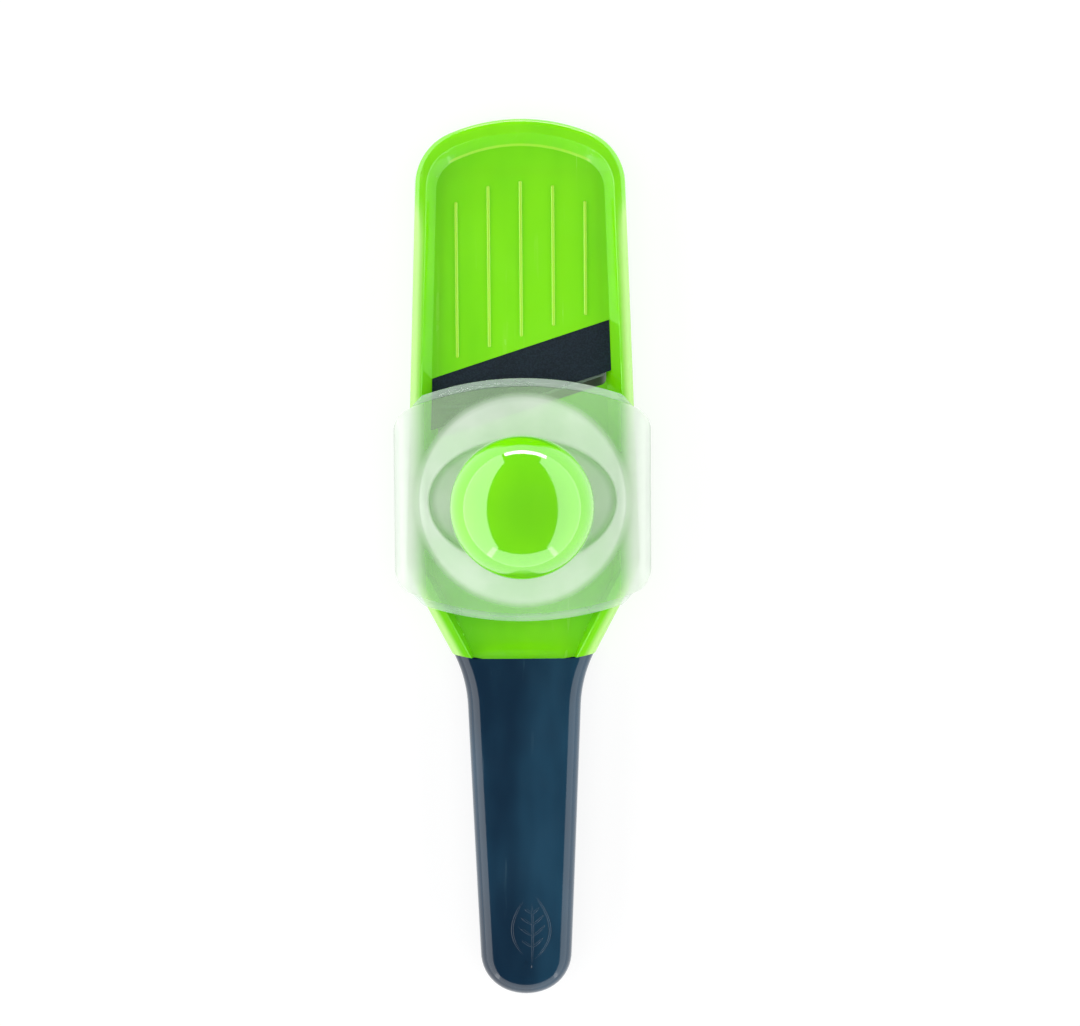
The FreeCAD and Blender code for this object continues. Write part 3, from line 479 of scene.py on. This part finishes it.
@dataclass(frozen=True)
class Backdrop:
    """Pale studio floor that glows softly, with a painted shadow under the slot where the glow is left out.
    """

    name: str = "studio_floor"
    colour: Solid = (0.22, 0.22, 0.22)
    glow: Solid = (1.0, 1.0, 1.0)
    slot_y: float = 0.050

    def make(self) -> bpy.types.Material:
        """Builds the material."""
        graph = Graph(self.name)
        # painted shadow: the glow is left out over a patch under the slot, between the rails, so the floor
        # there shows dark
        aside = graph.axis("X").maths("ABSOLUTE").span(0.024, 0.031)
        along = (graph.axis("Y") - self.slot_y).maths("ABSOLUTE").span(0.016, 0.030)
        glow_except_painted_shadow = graph.blend(aside.at_least(along), (0.0, 0.0, 0.0), self.glow)
        graph.shade(Base_Color=self.colour, Roughness=0.9, Emission_Color=glow_except_painted_shadow, Emission_Strength=0.80)
        return graph.material


class Palette:
    """Every finish of the slicer, made once and found by slot."""

    def __init__(self) -> None:
        """Builds the materials."""
        lime = dict(colour=srgb(134, 236, 2), deep=srgb(118, 222, 0), scuffed=srgb(178, 240, 84))
        finishes = {
            Slot.GREEN: GlossMoulding("lime_moulding", **lime, roughness=0.18, glow=0.12, index=1.55,
                                      coat=0.8, zones=TrayZones(), scuff_amount=0.2),
            Slot.KNOB: GlossMoulding("lime_knob", **lime, roughness=0.05, scuff_amount=0.10,
                                     peel_mm=0.003, glow=0.10, index=1.85, coat=1.0),
            Slot.NAVY: GlossMoulding("navy_moulding", srgb(28, 68, 92), srgb(8, 38, 60),
                                     srgb(70, 104, 120), roughness=0.12, scuff_amount=0.20, peel_mm=0.006,
                                     index=1.5, coat=0.25),
            Slot.TEXTURED: SparkedPlastic("sparked_bar", srgb(5, 18, 31), srgb(24, 44, 60)),
            Slot.BLADE: Metal("ground_steel", srgb(150, 156, 160), srgb(96, 102, 108), 0.22),
            Slot.SCREW: Metal("plated_screw", srgb(190, 192, 196), srgb(128, 130, 134), 0.28,
                              (1, 1, 1), 900.0),
            Slot.BRASS: Metal("turned_brass", srgb(206, 170, 92), srgb(150, 114, 54), 0.25, (1, 1, 0.1)),
            Slot.PLATE: Metal("satin_plate", srgb(228, 231, 232), srgb(182, 188, 190), 0.34),
            Slot.RUBBER: Rubber("foot_rubber", srgb(24, 24, 26), srgb(84, 84, 84)),
            # the last colour of the frosted saddle is painted shade for the skirts' lower parts
            Slot.FROSTED: SaddlePlastic("frosted_saddle", srgb(232, 250, 228), srgb(244, 252, 242),
                                        srgb(206, 246, 190), srgb(150, 178, 152)),
        }
        self.by_slot = {slot: finish.make() for slot, finish in finishes.items()}
        self.clear = ClearPlastic("clear_lip", srgb(214, 238, 220), srgb(238, 250, 240),
                                  roughness=0.06, alpha=0.30).make()

    def dress(self, piece: bpy.types.Object, slot: Slot) -> None:
        """Gives a piece a slot's finish, in place of what it has."""
        piece.data.materials.clear()
        piece.data.materials.append(self.by_slot[slot])


# ------------------------------------------------------------------ plan geometry
def crossing(first: tuple[Point, Point], second: tuple[Point, Point]) -> Point:
    """Where two lines cross, each a point and a direction."""
    (x1, y1), (a1, b1) = first
    (x2, y2), (a2, b2) = second
    t = ((x2 - x1) * b2 - (y2 - y1) * a2) / (a1 * b2 - b1 * a2)
    return x1 + t * a1, y1 + t * b1


def shifted(line: tuple[Point, Point], inset: float) -> tuple[Point, Point]:
    """A line on the right-hand side, moved towards the centre plane."""
    (x, y), (a, b) = line
    size = math.hypot(a, b)
    nx, ny = b / size, -a / size
    if nx > 0:
        nx, ny = -nx, -ny
    return (x + nx * inset, y + ny * inset), (a, b)


def rounded(corners: Sequence[Solid], arc_steps: int = 14, line_steps: int = 24) -> list[Point]:
    """Open path through corners, each with its radius.

    Args:
        corners: (x, y, radius) in order; the ends' radii are ignored.
        arc_steps: pieces in each arc.
        line_steps: pieces in each straight run.

    Returns:
        The points along it.
    """
    path: list[Vector] = [Vector(corners[0][:2])]
    for before, here, after in zip(corners, corners[1:], corners[2:]):
        spot = Vector(here[:2])
        back = (Vector(before[:2]) - spot).normalized()
        ahead = (Vector(after[:2]) - spot).normalized()
        half = back.angle(ahead) / 2
        start = spot + back * (here[2] / math.tan(half))
        end = spot + ahead * (here[2] / math.tan(half))
        centre = spot + (back + ahead).normalized() * (here[2] / math.sin(half))
        path += [path[-1].lerp(start, (i + 1) / line_steps) for i in range(line_steps)]
        turn = (start - centre).angle_signed(end - centre)
        for i in range(1, arc_steps + 1):
            angle = -turn * i / arc_steps
            ray = start - centre
            cos, sin = math.cos(angle), math.sin(angle)
            path.append(centre + Vector((ray.x * cos - ray.y * sin, ray.x * sin + ray.y * cos)))
    last = Vector(corners[-1][:2])
    path += [path[-1].lerp(last, (i + 1) / line_steps) for i in range(line_steps)]
    return [(p.x, p.y) for p in path]


def evenly_spaced(path: Sequence[Point], count: int) -> list[Point]:
    """A path cut into equal lengths."""
    lengths = [0.0]
    for a, b in zip(path, path[1:]):
        lengths.append(lengths[-1] + math.dist(a, b))
    found, at = [], 0
    for i in range(count + 1):
        want = lengths[-1] * i / count
        while at < len(path) - 2 and lengths[at + 1] < want:
            at += 1
        step = max(1e-9, lengths[at + 1] - lengths[at])
        t = min(1.0, (want - lengths[at]) / step)
        found.append((path[at][0] + (path[at + 1][0] - path[at][0]) * t,
                      path[at][1] + (path[at + 1][1] - path[at][1]) * t))
    return found


def between(low: Sequence[Solid], high: Sequence[Solid], t: float) -> list[Solid]:
    """A ring part of the way from one ring to another."""
    return [tuple(Vector(a).lerp(Vector(b), t)) for a, b in zip(low, high)]


def smooth_step(t: float) -> float:
    """Eases 0 to 1."""
    t = min(1.0, max(0.0, t))
    return t * t * (3 - 2 * t)


# ------------------------------------------------------------------ mesh making
class Mesh:
    """Collects points in millimetres and faces, then becomes one object."""

    def __init__(self, name: str) -> None:
        """Starts empty."""
        self.name = name
        self.points: list[Solid] = []
        self.faces: list[Sequence[int]] = []

    def rows(self, rows: Sequence[Sequence[Solid]], closed: bool = False, caps: bool = False) -> None:
        """Skins rows of equal length.

        Args:
            rows: the points of each row.
            closed: whether each row is a loop.
            caps: whether the first and last rows are filled.
        """
        numbered = []
        for row in rows:
            numbered.append(list(range(len(self.points), len(self.points) + len(row))))
            self.points += row
        count = len(numbered[0])
        for low, high in zip(numbered, numbered[1:]):
            for i in range(count if closed else count - 1):
                j = (i + 1) % count
                self.faces.append((low[i], low[j], high[j], high[i]))
        if caps:
            self.faces.append(tuple(reversed(numbered[0])))
            self.faces.append(tuple(numbered[-1]))

    def build(self, body: str, weld: float = 0.0005) -> bpy.types.Object:
        """Makes the object, welded and with its faces turned outwards, riding on a body.

        Args:
            body: the body that it moves with.
            weld: distance, in millimetres, below which points are merged.

        Returns:
            The object.
        """
        data = bpy.data.meshes.new(self.name)
        data.from_pydata([Vector(p) * MM for p in self.points], [], self.faces)
        shape = bmesh.new()
        shape.from_mesh(data)
        bmesh.ops.remove_doubles(shape, verts=shape.verts, dist=weld * MM)
        bmesh.ops.recalc_face_normals(shape, faces=shape.faces)
        for face in shape.faces:
            face.smooth = True
        shape.to_mesh(data)
        shape.free()
        piece = bpy.data.objects.new(self.name, data)
        bpy.context.scene.collection.objects.link(piece)
        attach(piece, body)
        return piece


def lathe(mesh: Mesh, outline: Sequence[Point], centre: Point, steps: int) -> None:
    """Turns a (radius, z) outline about a vertical axis."""
    turns = [2 * math.pi * i / steps for i in range(steps)]
    mesh.rows([[(centre[0] + r * math.cos(a), centre[1] + r * math.sin(a), z) for a in turns]
               for r, z in outline], closed=True)


# ------------------------------------------------------------------ handle
@dataclass
class Handle:
    """The glossy upper shell, ending in a fine seam over the carried-over lower one."""

    palette: Palette
    face_radius: float = 86.0
    face_y: float = -30.4
    neck_line: tuple[Point, Point] = ((30.2, -11.9), (0.527, 1.0))
    side_line: tuple[Point, Point] = ((16.8, -59.6), (0.0426, 1.0))
    neck_blend: float = 40.0
    end_slope: float = 20.0
    end_radius: float = 16.0
    corner_radius: float = 13.0
    end_y: float = -135.0
    seam_z: float = 8.0
    top_z: tuple[float, float, float] = (15.0, 17.4, 16.4)
    top_round: float = 6.0
    seam_lip: float = 0.35
    seam_land: float = 1.2
    seam_step: float = 0.02
    rim_steps: int = 8
    crown: float = 0.21
    end_pull: float = 6.0
    stations: int = 150

    def face_at(self, x: float) -> float:
        """Y of the joint face at a place across the handle."""
        return self.face_y + self.face_radius - math.sqrt(self.face_radius ** 2 - x * x)

    def outline(self, inset: float) -> list[Point]:
        """The handle's plan from the left of the joint face round the end to the right.

        Args:
            inset: distance that it is moved in.

        Returns:
            Evenly spaced points.
        """
        slope = math.radians(self.end_slope)
        tip = self.end_y - self.end_radius * (1 / math.cos(slope) - 1) + inset / math.cos(slope)
        neck, side = shifted(self.neck_line, inset), shifted(self.side_line, inset)
        end = ((0.0, tip), (1.0, math.tan(slope)))
        start = crossing(neck, ((0.0, 0.0), (1.0, 0.0)))
        right = [(*start, 0.0), (*crossing(neck, side), self.neck_blend + inset),
                 (*crossing(side, end), max(1.0, self.corner_radius - inset)),
                 (0.0, tip, max(1.0, self.end_radius - inset)), (-1.0, tip + math.tan(slope), 0.0)]
        path = [p for p in rounded(right, 20, 30) if p[0] >= 0 and p[1] <= self.face_at(p[0]) + 1.5]
        first, second = path[0], path[1]
        while path[0][1] > self.face_at(path[0][0]):
            first = path.pop(0)
            second = path[0]
        share = (first[1] - self.face_at(first[0])) / max(1e-6, first[1] - second[1])
        share = min(1.0, max(0.0, share))
        path.insert(0, (first[0] + (second[0] - first[0]) * share, self.face_at(first[0])))
        path.append((0.0, min(p[1] for p in path)))
        half = evenly_spaced(path, self.stations // 2)
        return [(-x, y) for x, y in half] + list(reversed(half))[1:]

    def top_at(self, y: float) -> float:
        """Height of the top line."""
        front, middle, end = self.top_z
        t = (y - self.face_y) / (self.end_y - self.face_y)
        return front * (1 - t) * (1 - 2 * t) + middle * 4 * t * (1 - t) + end * t * (2 * t - 1)

    def shell(self) -> Mesh:
        """A stack of plan outlines moving in over the rounded rim, then a crowned middle."""
        lip, radius = self.seam_lip, self.top_round
        stack: list[tuple[float, Callable[[float], float]]] = [
            (lip + self.seam_land, lambda y: self.seam_z),
            (lip, lambda y: self.seam_z + self.seam_step),
            (0.0, lambda y: self.seam_z + lip)]
        for i in range(self.rim_steps + 1):
            turn = math.pi / 2 * i / self.rim_steps
            inset, drop = radius * (1 - math.cos(turn)), radius * (1 - math.sin(turn))
            stack.append((inset, lambda y, d=drop: self.top_at(y) - d))
        rows = []
        for inset, level in stack:
            rows.append([(x, y, level(y)) for x, y in self.outline(inset)])
        rim = rows[-1]
        for share in (0.8, 0.6, 0.4, 0.2, 0.0):
            row = []
            for x, y, z in rim:
                crown = self.crown * (1 - share * share)
                y_in = max(y, self.end_y + radius + (1 - share) * self.end_pull)
                row.append((x * share, y + (y_in - y) * (1 - share), z + crown))
            rows.append(row)
        mesh = Mesh("handle_upper")
        mesh.rows(rows)
        return mesh

    def build(self) -> None:
        """Makes the upper shell."""
        top = self.shell().build("slicer")
        self.palette.dress(top, Slot.NAVY)
        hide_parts("handle_top_shell")
        log.info("%s: %d faces", top.name, len(top.data.polygons))


@dataclass
class LeafMark:
    """A leaf drawn in fine raised lines near the end of the handle."""

    handle: Handle
    palette: Palette
    centre: Point = (1.6, -112.0)
    length: float = 22.0
    breadth: float = 11.5
    line: float = 0.42
    height: float = 0.30
    sink: float = 0.12
    lift: float = 0.16
    bead_sides: int = 6
    veins: int = 4

    def strokes(self) -> list[list[Point]]:
        """The leaf's outline, midrib and veins, along +Y from its stalk.

        Returns:
            Each stroke's points about the leaf's middle.
        """
        half = self.length / 2
        edge = [(self.breadth / 2 * math.sin(math.pi * t) ** 0.8 * (1.25 - 0.5 * t), -half + self.length * t)
                for t in (i / 30 for i in range(31))]
        midrib = [(0.5 * math.sin(math.pi * t), -half * 1.22 + self.length * 1.11 * t)
                  for t in (i / 20 for i in range(20))]
        lines = [edge, [(-x, y) for x, y in edge], midrib]
        for i in range(self.veins):
            t = 0.2 + 0.16 * i
            root_y = -half + self.length * t
            reach = self.breadth * 0.36 * math.sin(math.pi * min(0.96, t + 0.12))
            for side in (-1, 1):
                lines.append([(side * reach * u + 0.4 * (1 - u), root_y + reach * 0.75 * u ** 1.3)
                              for u in (k / 8 for k in range(9))])
        return lines

    def build(self) -> None:
        """Lays a half-round bead along every stroke, following the handle's crown."""
        mesh = Mesh("leaf_mark")
        for stroke in self.strokes():
            rows = []
            for i, (x, y) in enumerate(stroke):
                before, after = stroke[max(0, i - 1)], stroke[min(len(stroke) - 1, i + 1)]
                dx, dy = after[0] - before[0], after[1] - before[1]
                size = math.hypot(dx, dy) or 1.0
                taper = 0.45 + 0.55 * math.sin(math.pi * min(1.0, (i + 1) / len(stroke)))
                px, py = self.centre[0] + x, self.centre[1] + y
                base = self.handle.top_at(py) + self.lift
                row = []
                for k in range(self.bead_sides + 1):
                    turn = math.pi * k / self.bead_sides
                    off = math.cos(turn) * self.line * taper
                    up = math.sin(turn) * self.height * taper - self.sink
                    row.append((px - dy / size * off, py + dx / size * off, base + up))
                rows.append(row)
            mesh.rows(rows, closed=True, caps=True)
        leaf = mesh.build("slicer")
        self.palette.dress(leaf, Slot.NAVY)
        log.info("leaf_mark: %d faces", len(leaf.data.polygons))


# ------------------------------------------------------------------ guard
@dataclass
class Saddle:
    """The translucent guard: a plate bent down over both rails, with a dome and an oval dish."""

    palette: Palette
    centre_y: float = 19.7
    half_width: float = 39.3
    half_length: float = 34.7
    front_radius: float = 95.0
    back_radius: float = 95.0
    corner: float = 5.2
    shoulder: float = 5.5
    top: float = 17.0
    skirt_bottom: float = 7.0
    dome_foot: float = 31.4
    dome_sphere: float = 50.0
    dish: Point = (28.4, 19.0)
    dish_floor: float = 18.0
    stem_radius: float = 8.6
    stem_top: float = 24.4
    wall: float = 1.35
    lip_reach: float = 2.4
    lip_z: Point = (15.4, 16.2)
    end_wall_half: float = 21.5
    end_wall_bottom: float = 12.2
    bore: float = 3.0
    stem_round: float = 0.5
    crest_out: float = 0.55
    dome_rings: int = 9
    plate_rings: int = 26
    ring_bias: float = 0.9
    columns: int = 224

    @property
    def flat_half(self) -> float:
        """Half width of the flat plate."""
        return self.half_width - self.shoulder

    @property
    def unrolled_half(self) -> float:
        """Half width of the plate, shoulders and skirts laid flat."""
        return self.flat_half + self.shoulder * math.pi / 2 + self.top - self.shoulder - self.skirt_bottom

    def unroll(self, x: float) -> Point:
        """X and Z of a place across the laid-flat sheet."""
        side, far = (1 if x >= 0 else -1), abs(x)
        bend = self.shoulder * math.pi / 2
        if far <= self.flat_half:
            return x, self.top
        if far <= self.flat_half + bend:
            turn = (far - self.flat_half) / self.shoulder
            return (side * (self.flat_half + self.shoulder * math.sin(turn)),
                    self.top - self.shoulder * (1 - math.cos(turn)))
        return side * self.half_width, self.top - self.shoulder - (far - self.flat_half - bend)

    def reach(self, x: float, way: int) -> float:
        """How far the sheet runs from its middle towards one end, at a place across it."""
        radius = self.front_radius if way > 0 else self.back_radius
        sag = radius - math.sqrt(radius ** 2 - x * x)
        past = max(0.0, abs(x) - (self.half_width - self.corner))
        cut = self.corner - math.sqrt(max(0.0, self.corner ** 2 - past * past))
        return self.half_length - sag - cut

    def edge_loop(self) -> list[Point]:
        """The sheet's edge laid flat, evenly spaced, from the middle of the right skirt round."""
        half, steps = self.unrolled_half, 60
        loop: list[Point] = []
        side_y = {way: self.reach(self.half_width, way) for way in (1, -1)}
        loop += [(half, side_y[1] * i / steps) for i in range(steps)]
        xs = [half * (1 - 2 * i / (4 * steps)) for i in range(4 * steps + 1)]
        loop += [(x, self.reach(self.unroll(x)[0], 1)) for x in xs]
        loop += [(-half, side_y[1] + (-side_y[-1] - side_y[1]) * i / (2 * steps))
                 for i in range(1, 2 * steps)]
        loop += [(-x, -self.reach(self.unroll(x)[0], -1)) for x in xs]
        loop += [(half, -side_y[-1] * (1 - i / steps)) for i in range(1, steps + 1)]
        return evenly_spaced(loop, self.columns)[:-1]

    def dome_z(self, x: float, y: float) -> float:
        """Height of the dome over a place from its middle."""
        foot = math.sqrt(self.dome_sphere ** 2 - self.dome_foot ** 2)
        return self.top - foot + math.sqrt(self.dome_sphere ** 2 - x * x - y * y)

    def circle(self, angles: Sequence[float], radius: float, z: float) -> list[Solid]:
        """A ring of one radius about the guard's middle."""
        return [(radius * math.cos(a), radius * math.sin(a), z) for a in angles]

    def oval(self, angles: Sequence[float], grow: float, z: float | None = None) -> list[Solid]:
        """A ring round the dish, at one height or, if none is given, on the dome."""
        rx, ry, ring = self.dish[0] + grow, self.dish[1] + grow, []
        for a in angles:
            r = rx * ry / math.hypot(ry * math.cos(a), rx * math.sin(a))
            x, y = r * math.cos(a), r * math.sin(a)
            ring.append((x, y, self.dome_z(x, y) if z is None else z))
        return ring

    def well_rings(self, angles: Sequence[float]) -> list[list[Solid]]:
        """Rings from the stem's bore, down the stem and across the dish to its rim."""
        stem, top, floor = self.stem_radius, self.stem_top, self.dish_floor
        rings = [self.circle(angles, self.bore, top), self.circle(angles, stem - self.stem_round, top),
                 self.circle(angles, stem, top - self.stem_round), self.circle(angles, stem, floor + 2.0),
                 self.circle(angles, stem + 0.35, floor + 0.7), self.circle(angles, stem + 1.1, floor + 0.05)]
        inner = self.oval(angles, -1.3, floor)
        rings += [between(rings[-1], inner, t) for t in (0.33, 0.66)] + [inner]
        rings += [self.oval(angles, -0.5, floor + 0.12), self.oval(angles, -0.1, floor + 0.5)]
        rim = [(x, y, max(floor + 0.8, z - 0.35)) for x, y, z in self.oval(angles, 0.0)]
        return [*rings, rim]

    def dome_rings_out(self, angles: Sequence[float]) -> list[list[Solid]]:
        """Rings over the dome, from the dish's rim to the dome's foot."""
        crest = self.oval(angles, self.crest_out)
        foot = self.circle(angles, self.dome_foot, self.top)
        rings = [between(crest, foot, i / self.dome_rings) for i in range(self.dome_rings + 1)]
        return [[(x, y, max(self.top, self.dome_z(x, y))) for x, y, z in ring] for ring in rings]

    def plate_rings_out(self, angles: Sequence[float], edge: Sequence[Point]) -> list[list[Solid]]:
        """Rings over the plate, its shoulders and its skirts, from the dome's foot to the edge."""
        start = self.circle(angles, self.dome_foot + 0.35, self.top)
        rings = []
        for i in range(self.plate_rings + 1):
            t = (i / self.plate_rings) ** self.ring_bias
            ring = []
            for (ex, ey), (cx, cy, cz) in zip(edge, start):
                x, z = self.unroll(cx + (ex - cx) * t)
                ring.append((x, cy + (ey - cy) * t, z))
            rings.append(ring)
        return rings

    def sheet(self) -> Mesh:
        """Rings from the stem out to the edge."""
        edge = self.edge_loop()
        angles = [math.atan2(y, x) for x, y in edge]
        rings = self.well_rings(angles) + self.dome_rings_out(angles) + self.plate_rings_out(angles, edge)
        mesh = Mesh("guard_saddle")
        mesh.rows([[(x, y + self.centre_y, z) for x, y, z in ring] for ring in rings], closed=True)
        return mesh

    def lips(self) -> Mesh:
        """The clear ledge and short wall along each end, an L-shaped bar bent to the plate's bow."""
        mesh = Mesh("guard_lips")
        low, high = self.lip_z
        for way, radius in ((1, self.front_radius), (-1, self.back_radius)):
            rows = []
            span = self.half_width - self.corner - 0.6
            for i in range(61):
                x = span * (2 * i / 60 - 1)
                out = self.half_length - radius + math.sqrt(radius ** 2 - x * x)
                fade = smooth_step((self.end_wall_half - abs(x)) / 1.2 + 0.5)
                bottom = low - 0.01 - (low - self.end_wall_bottom) * fade
                edge = self.lip_reach * smooth_step((span - abs(x)) / 4.0 + 0.15)
                profile = [(0.08, low), (edge - 1.1, low), (edge - 1.1, bottom), (edge - 0.12, bottom),
                           (edge, bottom + 0.12), (edge, high - 0.2), (edge - 0.2, high), (0.08, high)]
                rows.append([(x, self.centre_y + way * (out + max(0.05, d) if d > 0.08 else out + 0.08), z)
                             for d, z in profile])
            mesh.rows(rows, closed=True, caps=True)
        return mesh

    def build(self) -> None:
        """Makes the sheet with its thickness, and the lips."""
        sheet = self.sheet().build("guard", weld=0.002)
        sheet.data.materials.append(self.palette.by_slot[Slot.FROSTED])
        wall = sheet.modifiers.new("wall", "SOLIDIFY")
        wall.thickness = self.wall * MM
        wall.offset = -1.0
        wall.use_even_offset = True
        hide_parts("guard_shell")
        lips = self.lips().build("guard")
        lips.data.materials.append(self.palette.clear)
        log.info("guard_saddle: %d faces, guard_lips: %d faces",
                 len(sheet.data.polygons), len(lips.data.polygons))


@dataclass
class Knob:
    """The ball knob in two halves with a fine parting groove."""

    palette: Palette
    centre: Point = (0.0, 19.7)
    radius: float = 21.4
    equator: float = 40.0
    top: float = 56.6
    foot_z: float = 24.4
    groove: float = 0.22
    stretch: float = 1.12
    recess: float = 1.4
    half_gap: float = 0.02
    foot_edge: float = 0.3
    bore: float = 2.3
    steps: int = 40
    turns: int = 128

    def upper(self) -> list[Point]:
        """Radius and height from the groove up to the crown."""
        rise = self.top - self.equator
        level = self.equator + self.half_gap
        found = [(self.radius - self.recess, level), (self.radius - self.groove, level)]
        for i in range(self.steps + 1):
            turn = math.pi / 2 * (0.012 + 0.988 * i / self.steps)
            found.append((max(0.0, self.radius * math.cos(turn)), self.equator + rise * math.sin(turn)))
        return found

    def lower(self) -> list[Point]:
        """Radius and height from the groove down to the foot."""
        drop = (self.equator - self.foot_z) * self.stretch
        end = math.asin(1 / self.stretch)
        level = self.equator - self.half_gap
        found = [(self.radius - self.recess, level), (self.radius - self.groove, level)]
        for i in range(self.steps + 1):
            turn = 0.02 + (end - 0.02) * i / self.steps
            found.append((self.radius * math.cos(turn), self.equator - drop * math.sin(turn)))
        found += [(found[-1][0] - self.foot_edge, self.foot_z), (self.bore, self.foot_z)]
        return found

    def build(self) -> None:
        """Makes both halves."""
        for name, outline, node in (("knob_crown", self.upper(), "knob_dome"),
                                    ("knob_seat", self.lower(), "knob_base")):
            mesh = Mesh(name)
            lathe(mesh, outline, self.centre, self.turns)
            piece = mesh.build("guard", weld=0.01)
            self.palette.dress(piece, Slot.KNOB)
            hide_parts(node)
            log.info("%s: %d faces", name, len(piece.data.polygons))


# ------------------------------------------------------------------ carried-over nodes
class CarriedNodes:
    """Packed nodes whose shapes are shown as they are, each with its finish."""

    finishes = {
        "tray": Slot.GREEN, "blade_holder": Slot.TEXTURED, "blade": Slot.BLADE,
        "blade_clamp": Slot.TEXTURED, "blade_screws": Slot.SCREW, "head_feet": Slot.RUBBER,
        "knob_insert": Slot.BRASS, "knob_screw": Slot.SCREW, "knob_washer": Slot.SCREW,
        "pin_plate": Slot.PLATE, "food_pins": Slot.PLATE,
        "handle_bottom_shell": Slot.NAVY, "handle_screws": Slot.SCREW,
    }

    def __init__(self, palette: Palette) -> None:
        """Keeps the palette."""
        self.palette = palette

    def dress(self) -> None:
        """Gives every carried-over node its finish."""
        for node, slot in self.finishes.items():
            self.palette.dress(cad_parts[node], slot)
            log.info("%s: %s", node, slot.value)


# ------------------------------------------------------------------ studio
@dataclass
class Softbox:
    """One rectangular light."""

    name: str
    place: Solid
    aim: Solid
    size: Point
    watts: float
    mirrored: bool = True

    def build(self) -> None:
        """Makes the light, turned towards its aim."""
        data = bpy.data.lights.new(self.name, "AREA")
        data.shape = "RECTANGLE"
        data.size, data.size_y = self.size
        data.energy = self.watts
        lamp = bpy.data.objects.new(self.name, data)
        bpy.context.scene.collection.objects.link(lamp)
        lamp.location = self.place
        lamp.visible_glossy = self.mirrored
        lamp.rotation_euler = (Vector(self.aim) - Vector(self.place)).to_track_quat("-Z", "Y").to_euler()


@dataclass
class Studio:
    """Pale floor, softboxes round an overhead camera, and the camera."""

    distance: float = 0.80
    centre: Point = (0.0058, 0.0157)
    focus_z: float = 0.015
    width: float = 0.3294
    roll: float = -0.42
    lean: float = 5.3
    sensor: float = 36.0
    floor_half: float = 3.0
    floor_drop: float = 0.0004

    def build_floor(self) -> None:
        """A large flat floor under the slicer."""
        mesh = bpy.data.meshes.new("floor")
        half = self.floor_half
        corners = [(-half, -half, 0), (half, -half, 0), (half, half, 0), (-half, half, 0)]
        mesh.from_pydata(corners, [], [(0, 1, 2, 3)])
        floor = bpy.data.objects.new("floor", mesh)
        bpy.context.scene.collection.objects.link(floor)
        floor.location.z = -self.floor_drop
        mesh.materials.append(Backdrop().make())

    def build_lights(self) -> None:
        """Softboxes to the left, right, front and back, a fill overhead and an even surround."""
        for box in (
            Softbox("left_box", (-0.90, 0.4, 0.42), (0.0, 0.4, 0.42), (3.8, 0.95), 22.0),
            Softbox("right_box", (0.92, 0.4, 0.42), (0.0, 0.4, 0.42), (3.8, 0.92), 18.0),
            Softbox("front_box", (0.0, -1.0, 0.27), (0.0, 0.0, 0.27), (1.5, 0.54), 4.0),
            Softbox("fill", (0.0, 0.0, 1.3), (0.0, 0.0, 0.0), (1.6, 1.6), 10.0, mirrored=False),
            Softbox("back_box", (0.10, 1.2, 0.09), (0.1, 0.0, 0.09), (1.0, 0.16), 5.0),
        ):
            box.build()
        world = bpy.data.worlds.new("surround")
        bpy.context.scene.world = world
        world.use_nodes = True
        background = world.node_tree.nodes["Background"]
        background.inputs["Color"].default_value = (0.94, 0.97, 1.0, 1.0)
        background.inputs["Strength"].default_value = 0.10
        bpy.context.scene.view_settings.view_transform = "Standard"

    def build_camera(self) -> None:
        """A long lens looking straight down, the head's end up."""
        data = bpy.data.cameras.new("overhead")
        data.sensor_width = self.sensor
        data.lens = self.sensor * self.distance / self.width
        data.clip_start, data.clip_end = 0.05, 20.0
        camera = bpy.data.objects.new("overhead", data)
        bpy.context.scene.collection.objects.link(camera)
        lean = math.radians(self.lean)
        target = Vector((*self.centre, self.focus_z))
        camera.location = target + self.distance * Vector((0.0, math.sin(lean), math.cos(lean)))
        camera.rotation_euler = (-lean, 0.0, math.radians(self.roll))
        bpy.context.scene.camera = camera

    def build(self) -> None:
        """Makes the floor, the lights and the camera."""
        self.build_floor()
        self.build_lights()
        self.build_camera()


def main() -> None:
    """Builds the slicer's looks in order."""
    logging.basicConfig(level=logging.INFO, format="%(message)s")
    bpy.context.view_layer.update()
    palette = Palette()
    CarriedNodes(palette).dress()
    handle = Handle(palette)
    handle.build()
    LeafMark(handle, palette).build()
    Saddle(palette).build()
    Knob(palette).build()
    Studio().build()


if __name__ == "__main__":
    main()
